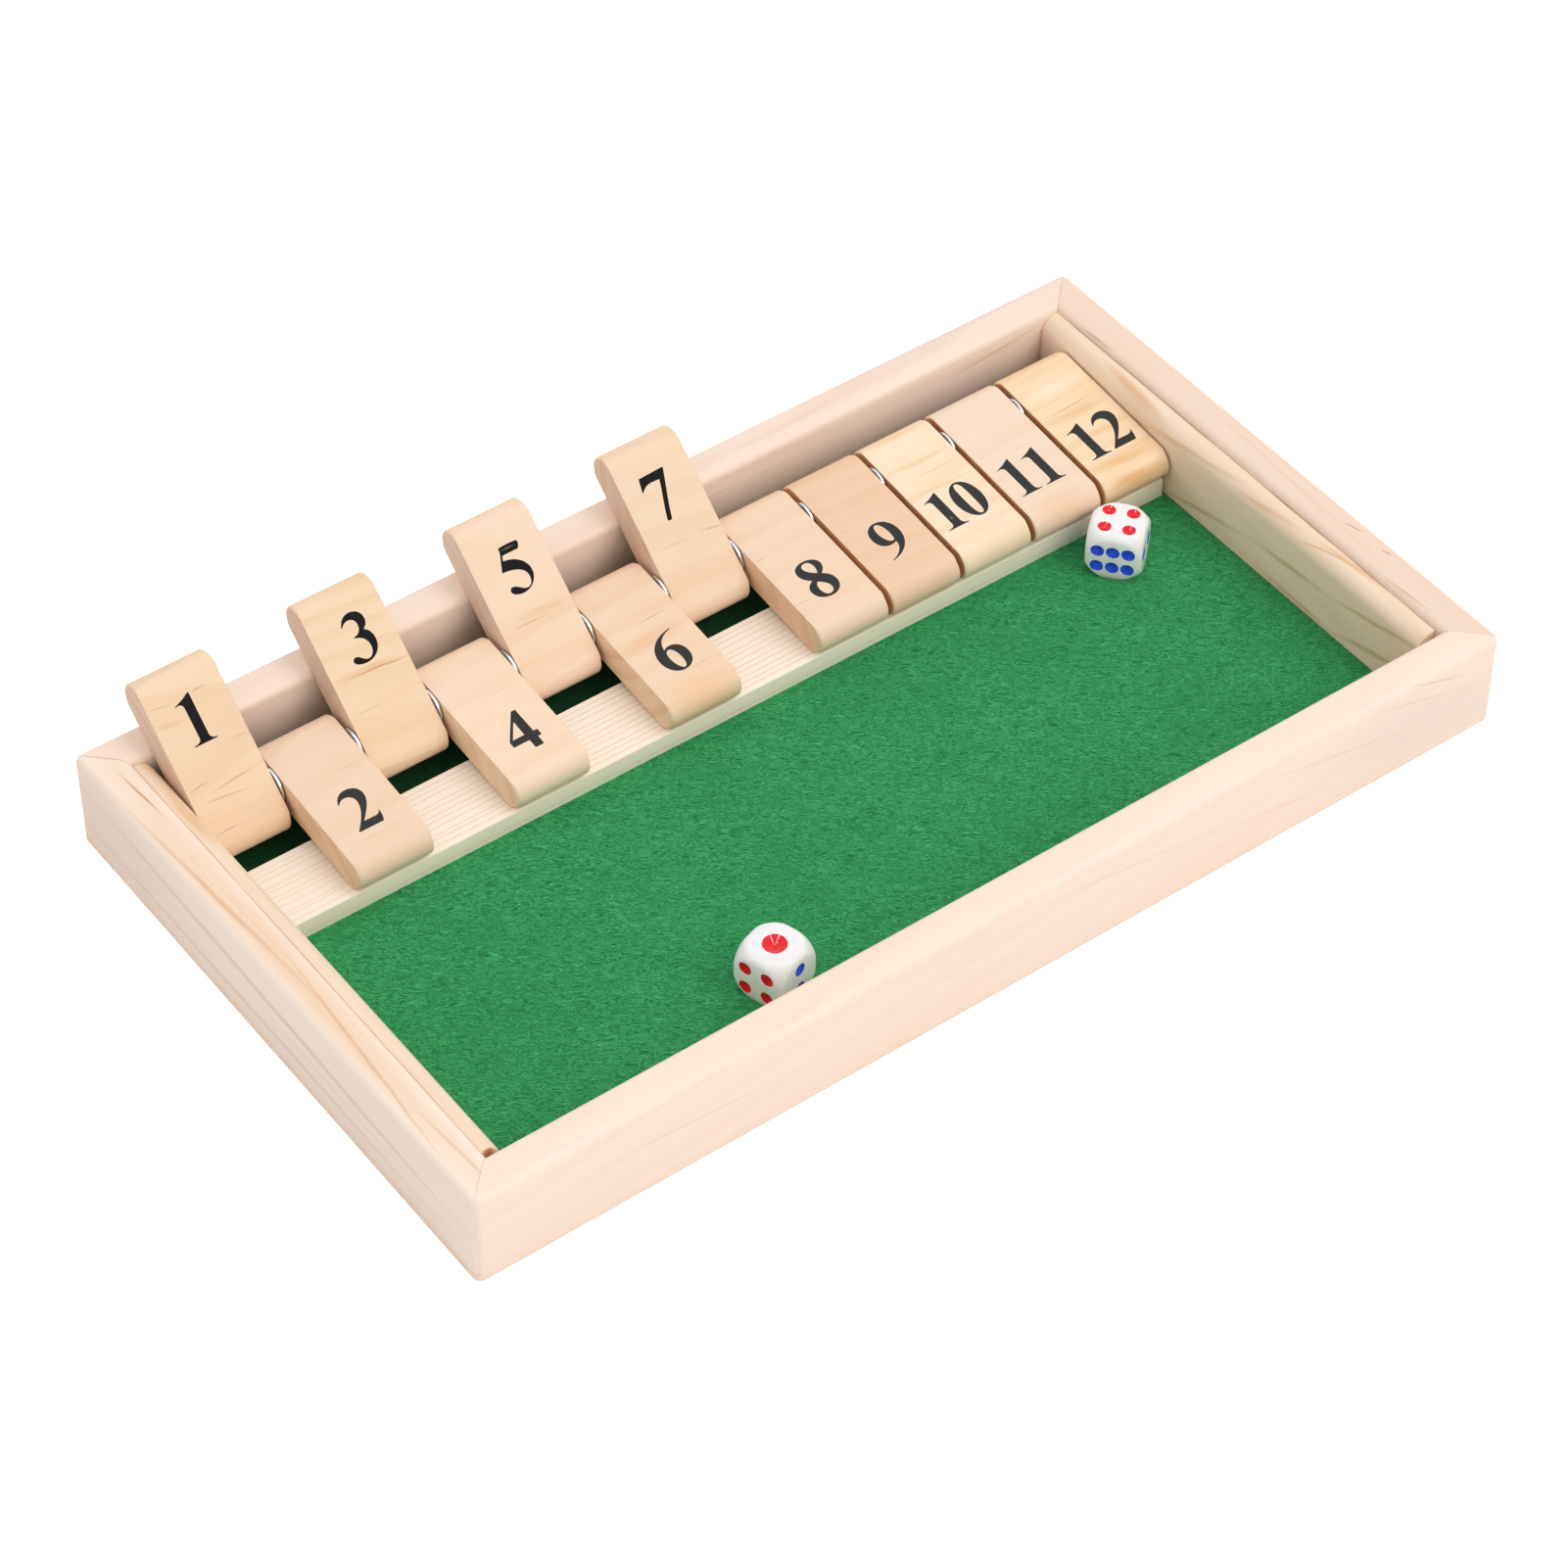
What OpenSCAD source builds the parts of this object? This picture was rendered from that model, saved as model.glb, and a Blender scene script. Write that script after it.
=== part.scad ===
// Wooden shut the box game: a shallow felt-lined tray with twelve hinged number tiles on one rod
// across its back, and two dice. Tiles 1, 3, 5 and 7 are raised and the others lie down.
// Millimetres, +Z up, +X along the row of tiles, +Y to the back. The origin is the centre of
// the underside.

/* [Tiles] */
// Width of one tile, along the row
tile_w = 24.6; // [20:0.1:28]
// Thickness of a tile, which is also the diameter of its two round ends
tile_t = 10.4; // [9.4:0.1:11.4]
// From the rod's axis to the tip of a tile's free end
tile_reach = 42.9; // [38:0.1:48]
// From the rod's axis to the tip of a tile's short end
tile_heel = 12.6; // [10:0.1:14]
// Play between a tile and the washer beside it
side_play = 0.1; // [0.1:0.05:0.3]
// Play between each end tile and the side liner beside it
end_play = 0.6; // [0.4:0.1:1]
// Gap left between a resting tile and what it rests on
rest_gap = 0.3; // [0.2:0.05:0.4]

/* [Rod and washers] */
// Diameter of the rod that carries the tiles
rod_d = 4; // [3:0.5:5]
// Clearance around the rod in the tiles, washers and liners, on the radius
rod_fit = 0.05; // [0.03:0.01:0.09]
// Clearance between each end of the rod and the rail that covers it
rod_end_play = 0.3; // [0.2:0.1:0.5]
// Height of the rod's axis above the underside of the box
rod_height = 20.3; // [19:0.1:22]
// From the back rail's inner face to the rod's axis
rod_from_back = 20.3; // [18:0.1:23]
// Outer diameter of a washer
washer_d = 11.5; // [11:0.1:14]
// Thickness of a washer
washer_t = 1.4; // [0.8:0.1:2]

/* [Box] */
// Inner depth of the tray, from the front rail to the back rail
tray_depth = 174; // [160:1:200]
// Thickness of the rails around the tray
rail_t = 12; // [10:0.5:15]
// Height of the rails above the base board
rail_h = 30; // [28:0.5:34]
// Rounding of the rails' upper edges and of the outer corners
rail_round = 2.5; // [1:0.1:4]
// Thickness of the base board
board_t = 2.5; // [2:0.1:3.5]

/* [Liners and felt] */
// Thickness of the two side liners that hold the rod
liner_t = 6; // [5.5:0.1:8]
// How far a liner's top lies below the rails' top
liner_drop = 2; // [1:0.1:4]
// Radius of the round on a liner's upper inner edge
liner_round = 5; // [3:0.1:5.3]
// Gap between a liner's front end and the front rail
liner_front_gap = 2.5; // [0.5:0.1:4]
// Thickness of the felt
felt_t = 1; // [0.6:0.1:1.5]

/* [Rest bar] */
// Width of the bar that the lowered tiles rest on
bar_w = 25; // [18:0.5:28]
// Thickness of the rest bar
bar_t = 7.5; // [6.5:0.1:8]
// How far the tips of the lowered tiles reach out past the bar
tile_overhang = 2; // [1:0.1:4]
// Gap between each end of the bar and the liner beside it
bar_end_gap = 1.2; // [0.5:0.1:2]
// Diameter of the nail through each end of the bar
nail_d = 1.4; // [1:0.1:2]
// How deep a nail goes into the end of the bar
nail_bite = 8; // [5:0.5:14]
// Clearance around a nail, on the radius
nail_fit = 0.05; // [0.03:0.01:0.1]

/* [Dice] */
// Distance between two opposite faces of a die
die_size = 17; // [16:0.1:19]
// Radius of a die's edges
die_edge = 1.8; // [1.5:0.1:3.5]
// How far the ball that trims a die's corners stands out past its faces
die_bulge = 3; // [2.4:0.1:3.6]
// Diameter of a pip
pip_d = 4.1; // [3:0.1:4.4]
// Depth of a pip
pip_depth = 0.9; // [0.5:0.1:1.2]
// Diameter of the large pip that stands for one
big_pip_d = 7.1; // [5:0.1:8]
// Depth of the large pip
big_pip_depth = 1.3; // [0.8:0.1:1.6]
// Distance between the pips of two, three, four and five
pip_pitch = 7.3; // [6:0.1:8]
// Distance between the two rows of six
six_row_pitch = 5.9; // [5:0.1:6.5]
// Distance between neighbouring pips in a row of six
six_pip_pitch = 4.6; // [4.2:0.1:4.8]
// From the left liner to the centre of the first die
die_1_from_left = 103.1; // [60:0.1:140]
// From the front rail to the nearest edge of the first die
die_1_from_front = 13.4; // [5:0.1:30]
// Turn of the first die, seen from above
die_1_turn = 17; // [0:1:90]
// From the right liner to the centre of the second die
die_2_from_right = 30.2; // [20:0.1:60]
// From the tips of the lowered tiles to the nearest edge of the second die
die_2_from_tiles = 0.7; // [0.5:0.1:30]
// Turn of the second die, seen from above
die_2_turn = -50; // [-90:1:0]

/* [Hidden] */

// Number of tiles in the row, and the ones that are raised
TILE_COUNT = 12;
RAISED = [1, 3, 5, 7];

// The row of tiles sets the width of the tray
tile_gap = washer_t + 2 * side_play;
tile_pitch = tile_w + tile_gap;
row_len = TILE_COUNT * tile_w + (TILE_COUNT - 1) * tile_gap;
tray_len = row_len + 2 * end_play;

// The box around the tray
box_len = tray_len + 2 * (liner_t + rail_t);
box_depth = tray_depth + 2 * rail_t;
box_h = board_t + rail_h;
felt_top = board_t + felt_t;
bar_top = felt_top + bar_t;
back_y = tray_depth / 2;
front_y = -tray_depth / 2;
rod_y = back_y - rod_from_back;
end_r = tile_t / 2;

// A lowered tile's round end stops rest_gap above the bar
lowered_tilt = asin((rod_height - end_r - bar_top - rest_gap) / (tile_reach - end_r));
tip_y = rod_y - (tile_reach - end_r) * cos(lowered_tilt) - end_r;
bar_front_y = tip_y + tile_overhang;

// A raised tile's back stops rest_gap short of the round on the back rail's inner edge:
// the centre of that round lies stop_off from the tile's middle plane
stop_y = back_y + rail_round - rod_y;
stop_z = box_h - rail_round - rod_height;
stop_off = end_r + rail_round + rest_gap;
raised_lean = atan2(stop_z, stop_y) + asin(stop_off / norm([stop_y, stop_z]));
echo(swing = 180 + lowered_tilt - raised_lean, lowered_tilt = lowered_tilt, raised_lean = raised_lean);

// Reach of a turned die from its centre, along X or Y, to one of its round upright edges
function die_reach(turn) =
    (die_size / 2 - die_edge) * (abs(cos(turn)) + abs(sin(turn))) + die_edge;

PINE = [0.96, 0.88, 0.80];
TILE_WOOD = [0.96, 0.85, 0.72];
FELT_GREEN = [0.16, 0.50, 0.29];
STEEL = [0.78, 0.78, 0.80];
IVORY = [0.97, 0.96, 0.95];

// Small overlap that makes a cut pass cleanly through a face
CUT = 1;
$fn = 96;

// Extrudes a (Y, Z) outline along X, about x = 0
module along_x(len) {
    rotate([90, 0, 90]) linear_extrude(len, center = true) children();
}

// Cylinder along X, about x = 0
module rod_along_x(d, len) {
    rotate([0, 90, 0]) cylinder(d = d, h = len, center = true);
}

// Rectangle with round corners
module round_rect(size, r) {
    square([size.x - 2 * r, size.y], center = true);
    square([size.x, size.y - 2 * r], center = true);
    for (sx = [-1, 1], sy = [-1, 1])
        translate([sx * (size.x / 2 - r), sy * (size.y / 2 - r)]) circle(r);
}

// Square corner less its quarter circle, with the square's corner at the origin and its
// centre towards -x and -y
module corner_cut(r) {
    difference() {
        translate([-r, -r]) square(r + CUT);
        translate([-r, -r]) circle(r);
    }
}

// Whole outer form of the rails, with its outer corners and upper outer edges rounded
module rail_block() {
    r = rail_round;
    translate([0, 0, board_t]) linear_extrude(rail_h - r) round_rect([box_len, box_depth], r);
    translate([0, 0, box_h - r]) {
        linear_extrude(r) square([box_len - 2 * r, box_depth - 2 * r], center = true);
        for (s = [-1, 1]) {
            translate([0, s * (box_depth / 2 - r), 0]) rod_along_x(2 * r, box_len - 2 * r);
            translate([s * (box_len / 2 - r), 0, 0]) rotate([90, 0, 0])
                cylinder(r = r, h = box_depth - 2 * r, center = true);
        }
        for (sx = [-1, 1], sy = [-1, 1])
            translate([sx * (box_len / 2 - r), sy * (box_depth / 2 - r), 0]) sphere(r);
    }
}

// Mitred rail along X at the +Y side, with its inner upper edge rounded
module mitred_rail(len, depth) {
    translate([0, 0, board_t]) linear_extrude(rail_h)
        polygon([
            [-len / 2, depth / 2], [len / 2, depth / 2],
            [len / 2 - rail_t, depth / 2 - rail_t], [rail_t - len / 2, depth / 2 - rail_t]
        ]);
}

// Cutter for the round on the inner upper edge of a rail along X at the +Y side
module inner_edge_cut(len, depth) {
    translate([0, depth / 2 - rail_t, box_h]) along_x(len) mirror([1, 0]) corner_cut(rail_round);
}

module long_rail() {
    color(PINE) difference() {
        intersection() {
            rail_block();
            mitred_rail(box_len, box_depth);
        }
        inner_edge_cut(box_len, box_depth);
    }
}

module short_rail() {
    color(PINE) difference() {
        intersection() {
            rail_block();
            rotate([0, 0, -90]) mitred_rail(box_depth, box_len);
        }
        rotate([0, 0, -90]) inner_edge_cut(box_depth, box_len);
    }
}

module front_rail() {
    mirror([0, 1, 0]) long_rail();
}

module back_rail() {
    long_rail();
}

module left_rail() {
    mirror([1, 0, 0]) short_rail();
}

module right_rail() {
    short_rail();
}

module base_board() {
    color(PINE) linear_extrude(board_t) round_rect([box_len, box_depth], rail_round);
}

module felt_mat() {
    color(FELT_GREEN) translate([0, 0, board_t]) linear_extrude(felt_t)
        square([tray_len, tray_depth], center = true);
}

// Side liner at the +X side. It stands on the base board, and holds one end of the rod and
// the nail into the end of the rest bar
module liner() {
    liner_len = tray_depth - liner_front_gap;
    top = box_h - liner_drop;
    inner_x = tray_len / 2;
    color(PINE) difference() {
        translate([inner_x, front_y + liner_front_gap, board_t])
            cube([liner_t, liner_len, top - board_t]);
        translate([inner_x, back_y - liner_len / 2, top]) rotate([90, 0, 0])
            linear_extrude(liner_len + 2 * CUT, center = true) mirror([1, 0]) corner_cut(liner_round);
        translate([inner_x + liner_t / 2, rod_y, rod_height])
            rod_along_x(rod_d + 2 * rod_fit, liner_t + 2 * CUT);
        bar_nail_places() rod_along_x(nail_d + 2 * nail_fit, 2 * nail_len());
    }
}

module left_liner() {
    mirror([1, 0, 0]) liner();
}

module right_liner() {
    liner();
}

// A nail's length: through the liner, over the gap and into the bar
function nail_len() = liner_t + bar_end_gap + nail_bite;

// Middle of the nail at the +X end of the bar
module bar_nail_places() {
    translate([tray_len / 2 + liner_t - nail_len() / 2, bar_front_y + bar_w / 2, felt_top + bar_t / 2])
        children();
}

module rest_bar() {
    color(PINE) difference() {
        translate([0, bar_front_y + bar_w / 2, felt_top]) linear_extrude(bar_t)
            square([tray_len - 2 * bar_end_gap, bar_w], center = true);
        for (side = [0, 1]) mirror([side, 0, 0])
            bar_nail_places() rod_along_x(nail_d + 2 * nail_fit, nail_len() + 2 * nail_fit);
    }
}

module bar_nails() {
    color(STEEL) for (side = [0, 1]) mirror([side, 0, 0])
        bar_nail_places() rod_along_x(nail_d, nail_len());
}

module pivot_rod() {
    color(STEEL) translate([0, rod_y, rod_height])
        rod_along_x(rod_d, tray_len + 2 * (liner_t - rod_end_play));
}

// Middle of a tile along the row, counted from 1 at the left
function tile_x(n) = (n - (TILE_COUNT + 1) / 2) * tile_pitch;

module washers() {
    color(STEEL) for (n = [1 : TILE_COUNT - 1])
        translate([tile_x(n) + tile_pitch / 2, rod_y, rod_height]) difference() {
            rod_along_x(washer_d, washer_t);
            rod_along_x(rod_d + 2 * rod_fit, washer_t + CUT);
        }
}

// Outline of a tile's side in (Y, Z): a bar with two round ends, the rod's axis at the origin
// and the free end towards -Y
module tile_outline() {
    straight = tile_reach + tile_heel - 2 * end_r;
    translate([end_r - tile_reach, -end_r]) square([straight, tile_t]);
    translate([end_r - tile_reach, 0]) circle(end_r);
    translate([tile_heel - end_r, 0]) circle(end_r);
}

// One tile on the rod: lowered it slopes down to the bar, raised it leans on the back rail
module tile(n) {
    is_raised = len(search(n, RAISED)) > 0;
    turn = is_raised ? raised_lean - 180 : lowered_tilt;
    color(TILE_WOOD) translate([tile_x(n), rod_y, rod_height]) rotate([turn, 0, 0])
        difference() {
            along_x(tile_w) tile_outline();
            rod_along_x(rod_d + 2 * rod_fit, tile_w + 2 * CUT);
        }
}

// Places of the pips on a face, from its centre
function pip_places(count) =
    let (p = pip_pitch / 2)
    count == 1 ? [[0, 0]] :
    count == 2 ? [[0, -p], [0, p]] :
    count == 3 ? [[-p, -p], [0, 0], [p, p]] :
    count == 4 ? [[-p, -p], [p, -p], [-p, p], [p, p]] :
    count == 5 ? [[-p, -p], [p, -p], [0, 0], [-p, p], [p, p]] :
    [for (row = [-1, 1], col = [-1, 0, 1]) [col * six_pip_pitch, row * six_row_pitch / 2]];

// Count on each face of a die and the turn that brings the upper face to it. Opposite faces
// add up to seven
DIE_FACES = [
    [4, [0, 0, 0]], [3, [180, 0, 0]], [6, [90, 0, 0]],
    [1, [-90, 0, 0]], [2, [0, 90, 0]], [5, [0, -90, 0]]
];

// Prism along Z with round edges
module die_prism() {
    linear_extrude(die_size, center = true) round_rect([die_size, die_size], die_edge);
}

// Conical recess of one pip, open towards +Z at the die's upper face
module pip_cut(d, depth) {
    lift = 0.3;
    translate([0, 0, die_size / 2 - depth])
        cylinder(h = depth + lift, d1 = 0, d2 = d * (depth + lift) / depth);
}

// A die about its own centre, with four up, six to the front and two to the right
module die_form() {
    color(IVORY) difference() {
        intersection() {
            die_prism();
            rotate([90, 0, 0]) die_prism();
            rotate([0, 90, 0]) die_prism();
            sphere(d = die_size + 2 * die_bulge);
        }
        for (face = DIE_FACES, place = pip_places(face[0]))
            rotate(face[1]) translate(place)
                pip_cut(face[0] == 1 ? big_pip_d : pip_d, face[0] == 1 ? big_pip_depth : pip_depth);
    }
}

// The first die shows one on top, four to the left and two to the front
module die_1() {
    x = die_1_from_left - tray_len / 2;
    y = front_y + die_1_from_front + die_reach(die_1_turn);
    translate([x, y, felt_top + die_size / 2]) rotate([0, 0, die_1_turn]) rotate([90, 0, -90])
        die_form();
}

// The second die shows four on top, six to the front and two to the right
module die_2() {
    x = tray_len / 2 - die_2_from_right;
    y = tip_y - die_2_from_tiles - die_reach(die_2_turn);
    translate([x, y, felt_top + die_size / 2]) rotate([0, 0, die_2_turn]) die_form();
}

base_board();
front_rail();
back_rail();
left_rail();
right_rail();
left_liner();
right_liner();
felt_mat();
rest_bar();
bar_nails();
pivot_rod();
washers();
tile(1);  // tile_01
tile(2);  // tile_02
tile(3);  // tile_03
tile(4);  // tile_04
tile(5);  // tile_05
tile(6);  // tile_06
tile(7);  // tile_07
tile(8);  // tile_08
tile(9);  // tile_09
tile(10);  // tile_10
tile(11);  // tile_11
tile(12);  // tile_12
die_1();
die_2();
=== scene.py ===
import math
import bmesh
import bpy
import numpy as np
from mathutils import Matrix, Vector
from mathutils.geometry import tessellate_polygon


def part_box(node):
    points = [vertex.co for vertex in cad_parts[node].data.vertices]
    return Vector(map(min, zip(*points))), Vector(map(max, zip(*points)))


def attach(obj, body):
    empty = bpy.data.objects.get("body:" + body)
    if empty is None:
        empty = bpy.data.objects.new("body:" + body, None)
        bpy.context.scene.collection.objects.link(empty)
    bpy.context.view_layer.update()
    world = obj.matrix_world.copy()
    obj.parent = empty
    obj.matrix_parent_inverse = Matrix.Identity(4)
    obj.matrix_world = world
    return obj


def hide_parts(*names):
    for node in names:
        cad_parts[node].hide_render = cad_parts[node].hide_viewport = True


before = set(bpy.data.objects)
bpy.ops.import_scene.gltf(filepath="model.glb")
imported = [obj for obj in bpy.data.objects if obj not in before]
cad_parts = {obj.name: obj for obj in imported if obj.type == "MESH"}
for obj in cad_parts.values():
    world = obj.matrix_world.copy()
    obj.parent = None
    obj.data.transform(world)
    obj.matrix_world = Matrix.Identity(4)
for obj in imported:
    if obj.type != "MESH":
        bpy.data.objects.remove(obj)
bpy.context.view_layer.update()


# BASE BOARD
# A thin sheet of pale wood glued under the four rails. Its cut edge shows as a narrow strip
# below them, with a fine dark line where the two meet.
MM = 0.001
base_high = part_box("base_board")[1]
box_half_x = base_high.x / MM
box_half_y = base_high.y / MM
board_top = base_high.z / MM
box_corner = 2.5
board_ease = 0.35


def srgb(red, green, blue):
    """Linear colour of a shade given in 0 to 255: ((c + 0.055) / 1.055) ^ 2.4."""
    shade = np.array([red, green, blue]) / 255
    linear = np.where(shade < 0.04045, shade / 12.92, ((shade + 0.055) / 1.055) ** 2.4)
    return (*(float(c) for c in linear), 1.0)


def seal(piece, crease=35):
    """Merges doubled points, turns faces outwards and keeps edges sharper than crease degrees."""
    form = bmesh.new()
    form.from_mesh(piece.data)
    bmesh.ops.remove_doubles(form, verts=form.verts, dist=1e-6)
    bmesh.ops.dissolve_degenerate(form, edges=form.edges, dist=1e-7)
    bmesh.ops.recalc_face_normals(form, faces=form.faces)
    form.to_mesh(piece.data)
    form.free()
    piece.data.shade_smooth()
    piece.data.set_sharp_from_angle(angle=math.radians(crease))
    return piece


def put_in_scene(name, points, faces):
    """Object from points in millimetres, already in their place."""
    mesh = bpy.data.meshes.new(name)
    mesh.from_pydata(np.asarray(points, float).reshape(-1, 3) * MM, [], faces)
    piece = bpy.data.objects.new(name, mesh)
    bpy.context.scene.collection.objects.link(piece)
    return piece


def grid_faces(rows, columns, wrap_rows=False, wrap_columns=True):
    """Four-sided faces between point (i, j) and its neighbours (i + 1, j) and (i, j + 1)."""
    i = np.arange(rows if wrap_rows else rows - 1)[:, None]
    j = np.arange(columns if wrap_columns else columns - 1)[None, :]
    near, far = (i % rows) * columns, ((i + 1) % rows) * columns
    here, there = j % columns, (j + 1) % columns
    corners = np.stack([near + here, near + there, far + there, far + here], -1)
    return corners.reshape(-1, 4)


def lofted(name, rings, closed=False):
    """Skin over rings of points, shape (rings, points, 3): neighbouring rings are joined by
    four-sided faces, and the first and last ring are filled unless the loft is closed."""
    count, size = rings.shape[:2]
    faces = grid_faces(count, size, wrap_rows=closed).tolist()
    if not closed:
        faces += [list(range(size)), list(range((count - 1) * size, count * size))]
    return seal(put_in_scene(name, rings, faces))


def quarter(centre, radius, start, steps=7):
    """Quarter circle of points: centre + radius * (cos a, sin a), from start to start - 90."""
    angle = np.radians(start - np.linspace(0, 90, steps))
    return np.stack([centre[0] + radius * np.cos(angle), centre[1] + radius * np.sin(angle)], -1)


def rounded_outline(half_x, half_y, radius, steps=9):
    """Outline of a rectangle with round corners, one quarter circle after another."""
    x, y = half_x - radius, half_y - radius
    return np.concatenate([
        quarter((x, y), radius, 90, steps), quarter((x, -y), radius, 0, steps),
        quarter((-x, -y), radius, -90, steps), quarter((-x, y), radius, 180, steps),
    ])


def slab(name, half_x, half_y, radius, low, high, ease, centre=(0, 0)):
    """Flat board: its outline at height z is drawn in by ease * (1 - cos a) where its upper
    and lower edges are rounded off."""
    angle = np.radians(np.linspace(0, 90, 5))
    inset = ease * (1 - np.sin(angle))
    rise = ease * (1 - np.cos(angle))
    inset = np.concatenate([inset, inset[::-1]])
    height = np.concatenate([low + rise, high - rise[::-1]])
    rings = [rounded_outline(half_x - i, half_y - i, radius) for i in inset]
    rings = [np.column_stack([ring + centre, np.full(len(ring), z)]) for ring, z in zip(rings, height)]
    return lofted(name, np.stack(rings))


def group_of(name, inputs, outputs):
    """Empty shader group with typed sockets; returns it with its nodes, links and ends."""
    group = bpy.data.node_groups.new(name, "ShaderNodeTree")
    for label, kind, value in inputs:
        socket = group.interface.new_socket(label, in_out="INPUT", socket_type="NodeSocket" + kind)
        if value is not None:
            socket.default_value = value
    for label, kind in outputs:
        group.interface.new_socket(label, in_out="OUTPUT", socket_type="NodeSocket" + kind)
    return group, group.nodes.new("NodeGroupInput"), group.nodes.new("NodeGroupOutput")


def add(tree, kind, links=None, **settings):
    """Node of a kind, with its settings, and its sockets set to values or linked."""
    node = tree.nodes.new("ShaderNode" + kind)
    for key, value in settings.items():
        setattr(node, key, value)
    for key, value in (links or {}).items():
        if isinstance(value, bpy.types.NodeSocket):
            tree.links.new(value, node.inputs[key])
        else:
            node.inputs[key].default_value = value
    return node


def new_material(name):
    """Material with its node tree, its shader and the object's own coordinates."""
    material = bpy.data.materials.new(name)
    material.use_nodes = True
    tree = material.node_tree
    return material, tree, tree.nodes["Principled BSDF"], add(tree, "TexCoord").outputs["Object"]


def own_axes(tree, place, origin, turn):
    """Coordinates in millimetres about an origin in millimetres, turned by degrees."""
    return add(tree, "Mapping", {
        "Vector": place, "Location": tuple(c * MM for c in origin),
        "Rotation": tuple(math.radians(a) for a in turn), "Scale": (MM, MM, MM)},
        vector_type="TEXTURE").outputs[0]


def sums(tree, operation, first, second=0.0, third=0.0, clamp=False):
    """One arithmetic step on values."""
    links = {0: first, 1: second, 2: third}
    return add(tree, "Math", links, operation=operation, use_clamp=clamp).outputs[0]


def blend_colour(tree, amount, under, over, blend_type="MIX"):
    """Colour under, with colour over laid on it by amount."""
    node = add(tree, "Mix", data_type="RGBA", blend_type=blend_type)
    for index, value in ((0, amount), (6, under), (7, over)):
        if isinstance(value, bpy.types.NodeSocket):
            tree.links.new(value, node.inputs[index])
        else:
            node.inputs[index].default_value = value
    return node.outputs[2]


def scaled_noise(tree, vector, scale, detail=2.0, roughness=0.5):
    """Noise on a vector stretched by scale along each axis, from 0 to 1."""
    stretched = add(tree, "VectorMath", {0: vector, 1: scale}, operation="MULTIPLY")
    links = {"Vector": stretched.outputs[0], "Scale": 1.0, "Detail": detail, "Roughness": roughness}
    return add(tree, "TexNoise", links).outputs["Fac"]


def eased_step(tree, value, low, high):
    """0 below low, 1 above high, with a smooth rise between."""
    links = {"Value": value, "From Min": low, "From Max": high}
    return add(tree, "MapRange", links, interpolation_type="SMOOTHSTEP").outputs[0]


def make_growth_rings():
    """Pine figure in a board's own millimetres, X along the grain. Distance from the heart of
    the tree, r = |(y, z) - heart| + slope * x + wander * noise, is cut into rings of one pitch;
    each ring darkens slowly towards its late wood and ends sharply. Also gives a slow mottle
    and fine fibres along X."""
    group, start, end = group_of("growth rings", [
        ("Grain", "Vector", None), ("Heart", "Vector", (0, 40, -60)), ("Slope", "Float", 0.02),
        ("Pitch", "Float", 3.0), ("Wander", "Float", 1.5)],
        [("Ring", "Float"), ("Mottle", "Float"), ("Fibre", "Float")])
    grain = start.outputs["Grain"]
    to_heart = add(group, "VectorMath", {0: grain, 1: start.outputs["Heart"]}, operation="SUBTRACT")
    across = add(group, "VectorMath", {0: to_heart.outputs[0], 1: (0, 1, 1)}, operation="MULTIPLY")
    radius = add(group, "VectorMath", {0: across.outputs[0]}, operation="LENGTH").outputs["Value"]
    along = add(group, "SeparateXYZ", {0: grain}).outputs["X"]
    radius = sums(group, "MULTIPLY_ADD", along, start.outputs["Slope"], radius)
    wave = scaled_noise(group, grain, (0.018, 0.05, 0.05), 2.0)
    radius = sums(group, "MULTIPLY_ADD", sums(group, "SUBTRACT", wave, 0.5),
                  sums(group, "MULTIPLY", start.outputs["Wander"], 2.0), radius)
    turns = sums(group, "DIVIDE", radius, start.outputs["Pitch"])
    share = sums(group, "FRACT", turns)
    late = eased_step(group, share, 0.25, 0.9)
    sharp_end = eased_step(group, share, 1.0, 0.93)
    ring_number = sums(group, "FLOOR", turns)
    uneven = add(group, "TexWhiteNoise", {"W": ring_number}, noise_dimensions="1D").outputs["Value"]
    ring = sums(group, "MULTIPLY", sums(group, "MULTIPLY", late, sharp_end),
                sums(group, "MULTIPLY_ADD", uneven, 0.75, 0.25))
    group.links.new(ring, end.inputs["Ring"])
    group.links.new(scaled_noise(group, grain, (0.012, 0.07, 0.07), 3.0), end.inputs["Mottle"])
    group.links.new(scaled_noise(group, grain, (0.09, 2.2, 2.2), 3.0, 0.65), end.inputs["Fibre"])
    return group


def make_soft_mark():
    """Mark on wood: an ellipsoid of half sizes Size about Place, turned by Turn, whose mask
    falls smoothly from 1 inside to 0 at its rim."""
    group, start, end = group_of("soft mark", [
        ("Grain", "Vector", None), ("Place", "Vector", None), ("Size", "Vector", None),
        ("Turn", "Vector", None), ("Strength", "Float", 1.0)], [("Mask", "Float")])
    offset = add(group, "VectorMath", {0: start.outputs["Grain"], 1: start.outputs["Place"]},
                 operation="SUBTRACT").outputs[0]
    turned = add(group, "VectorRotate", {"Vector": offset, "Rotation": start.outputs["Turn"]},
                 rotation_type="EULER_XYZ", invert=True).outputs[0]
    ratio = add(group, "VectorMath", {0: turned, 1: start.outputs["Size"]}, operation="DIVIDE")
    distance = add(group, "VectorMath", {0: ratio.outputs[0]}, operation="LENGTH").outputs["Value"]
    mask = sums(group, "MULTIPLY", eased_step(group, distance, 1.0, 0.15), start.outputs["Strength"])
    group.links.new(mask, end.inputs["Mask"])
    return group


growth_rings = make_growth_rings()
soft_mark = make_soft_mark()


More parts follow.
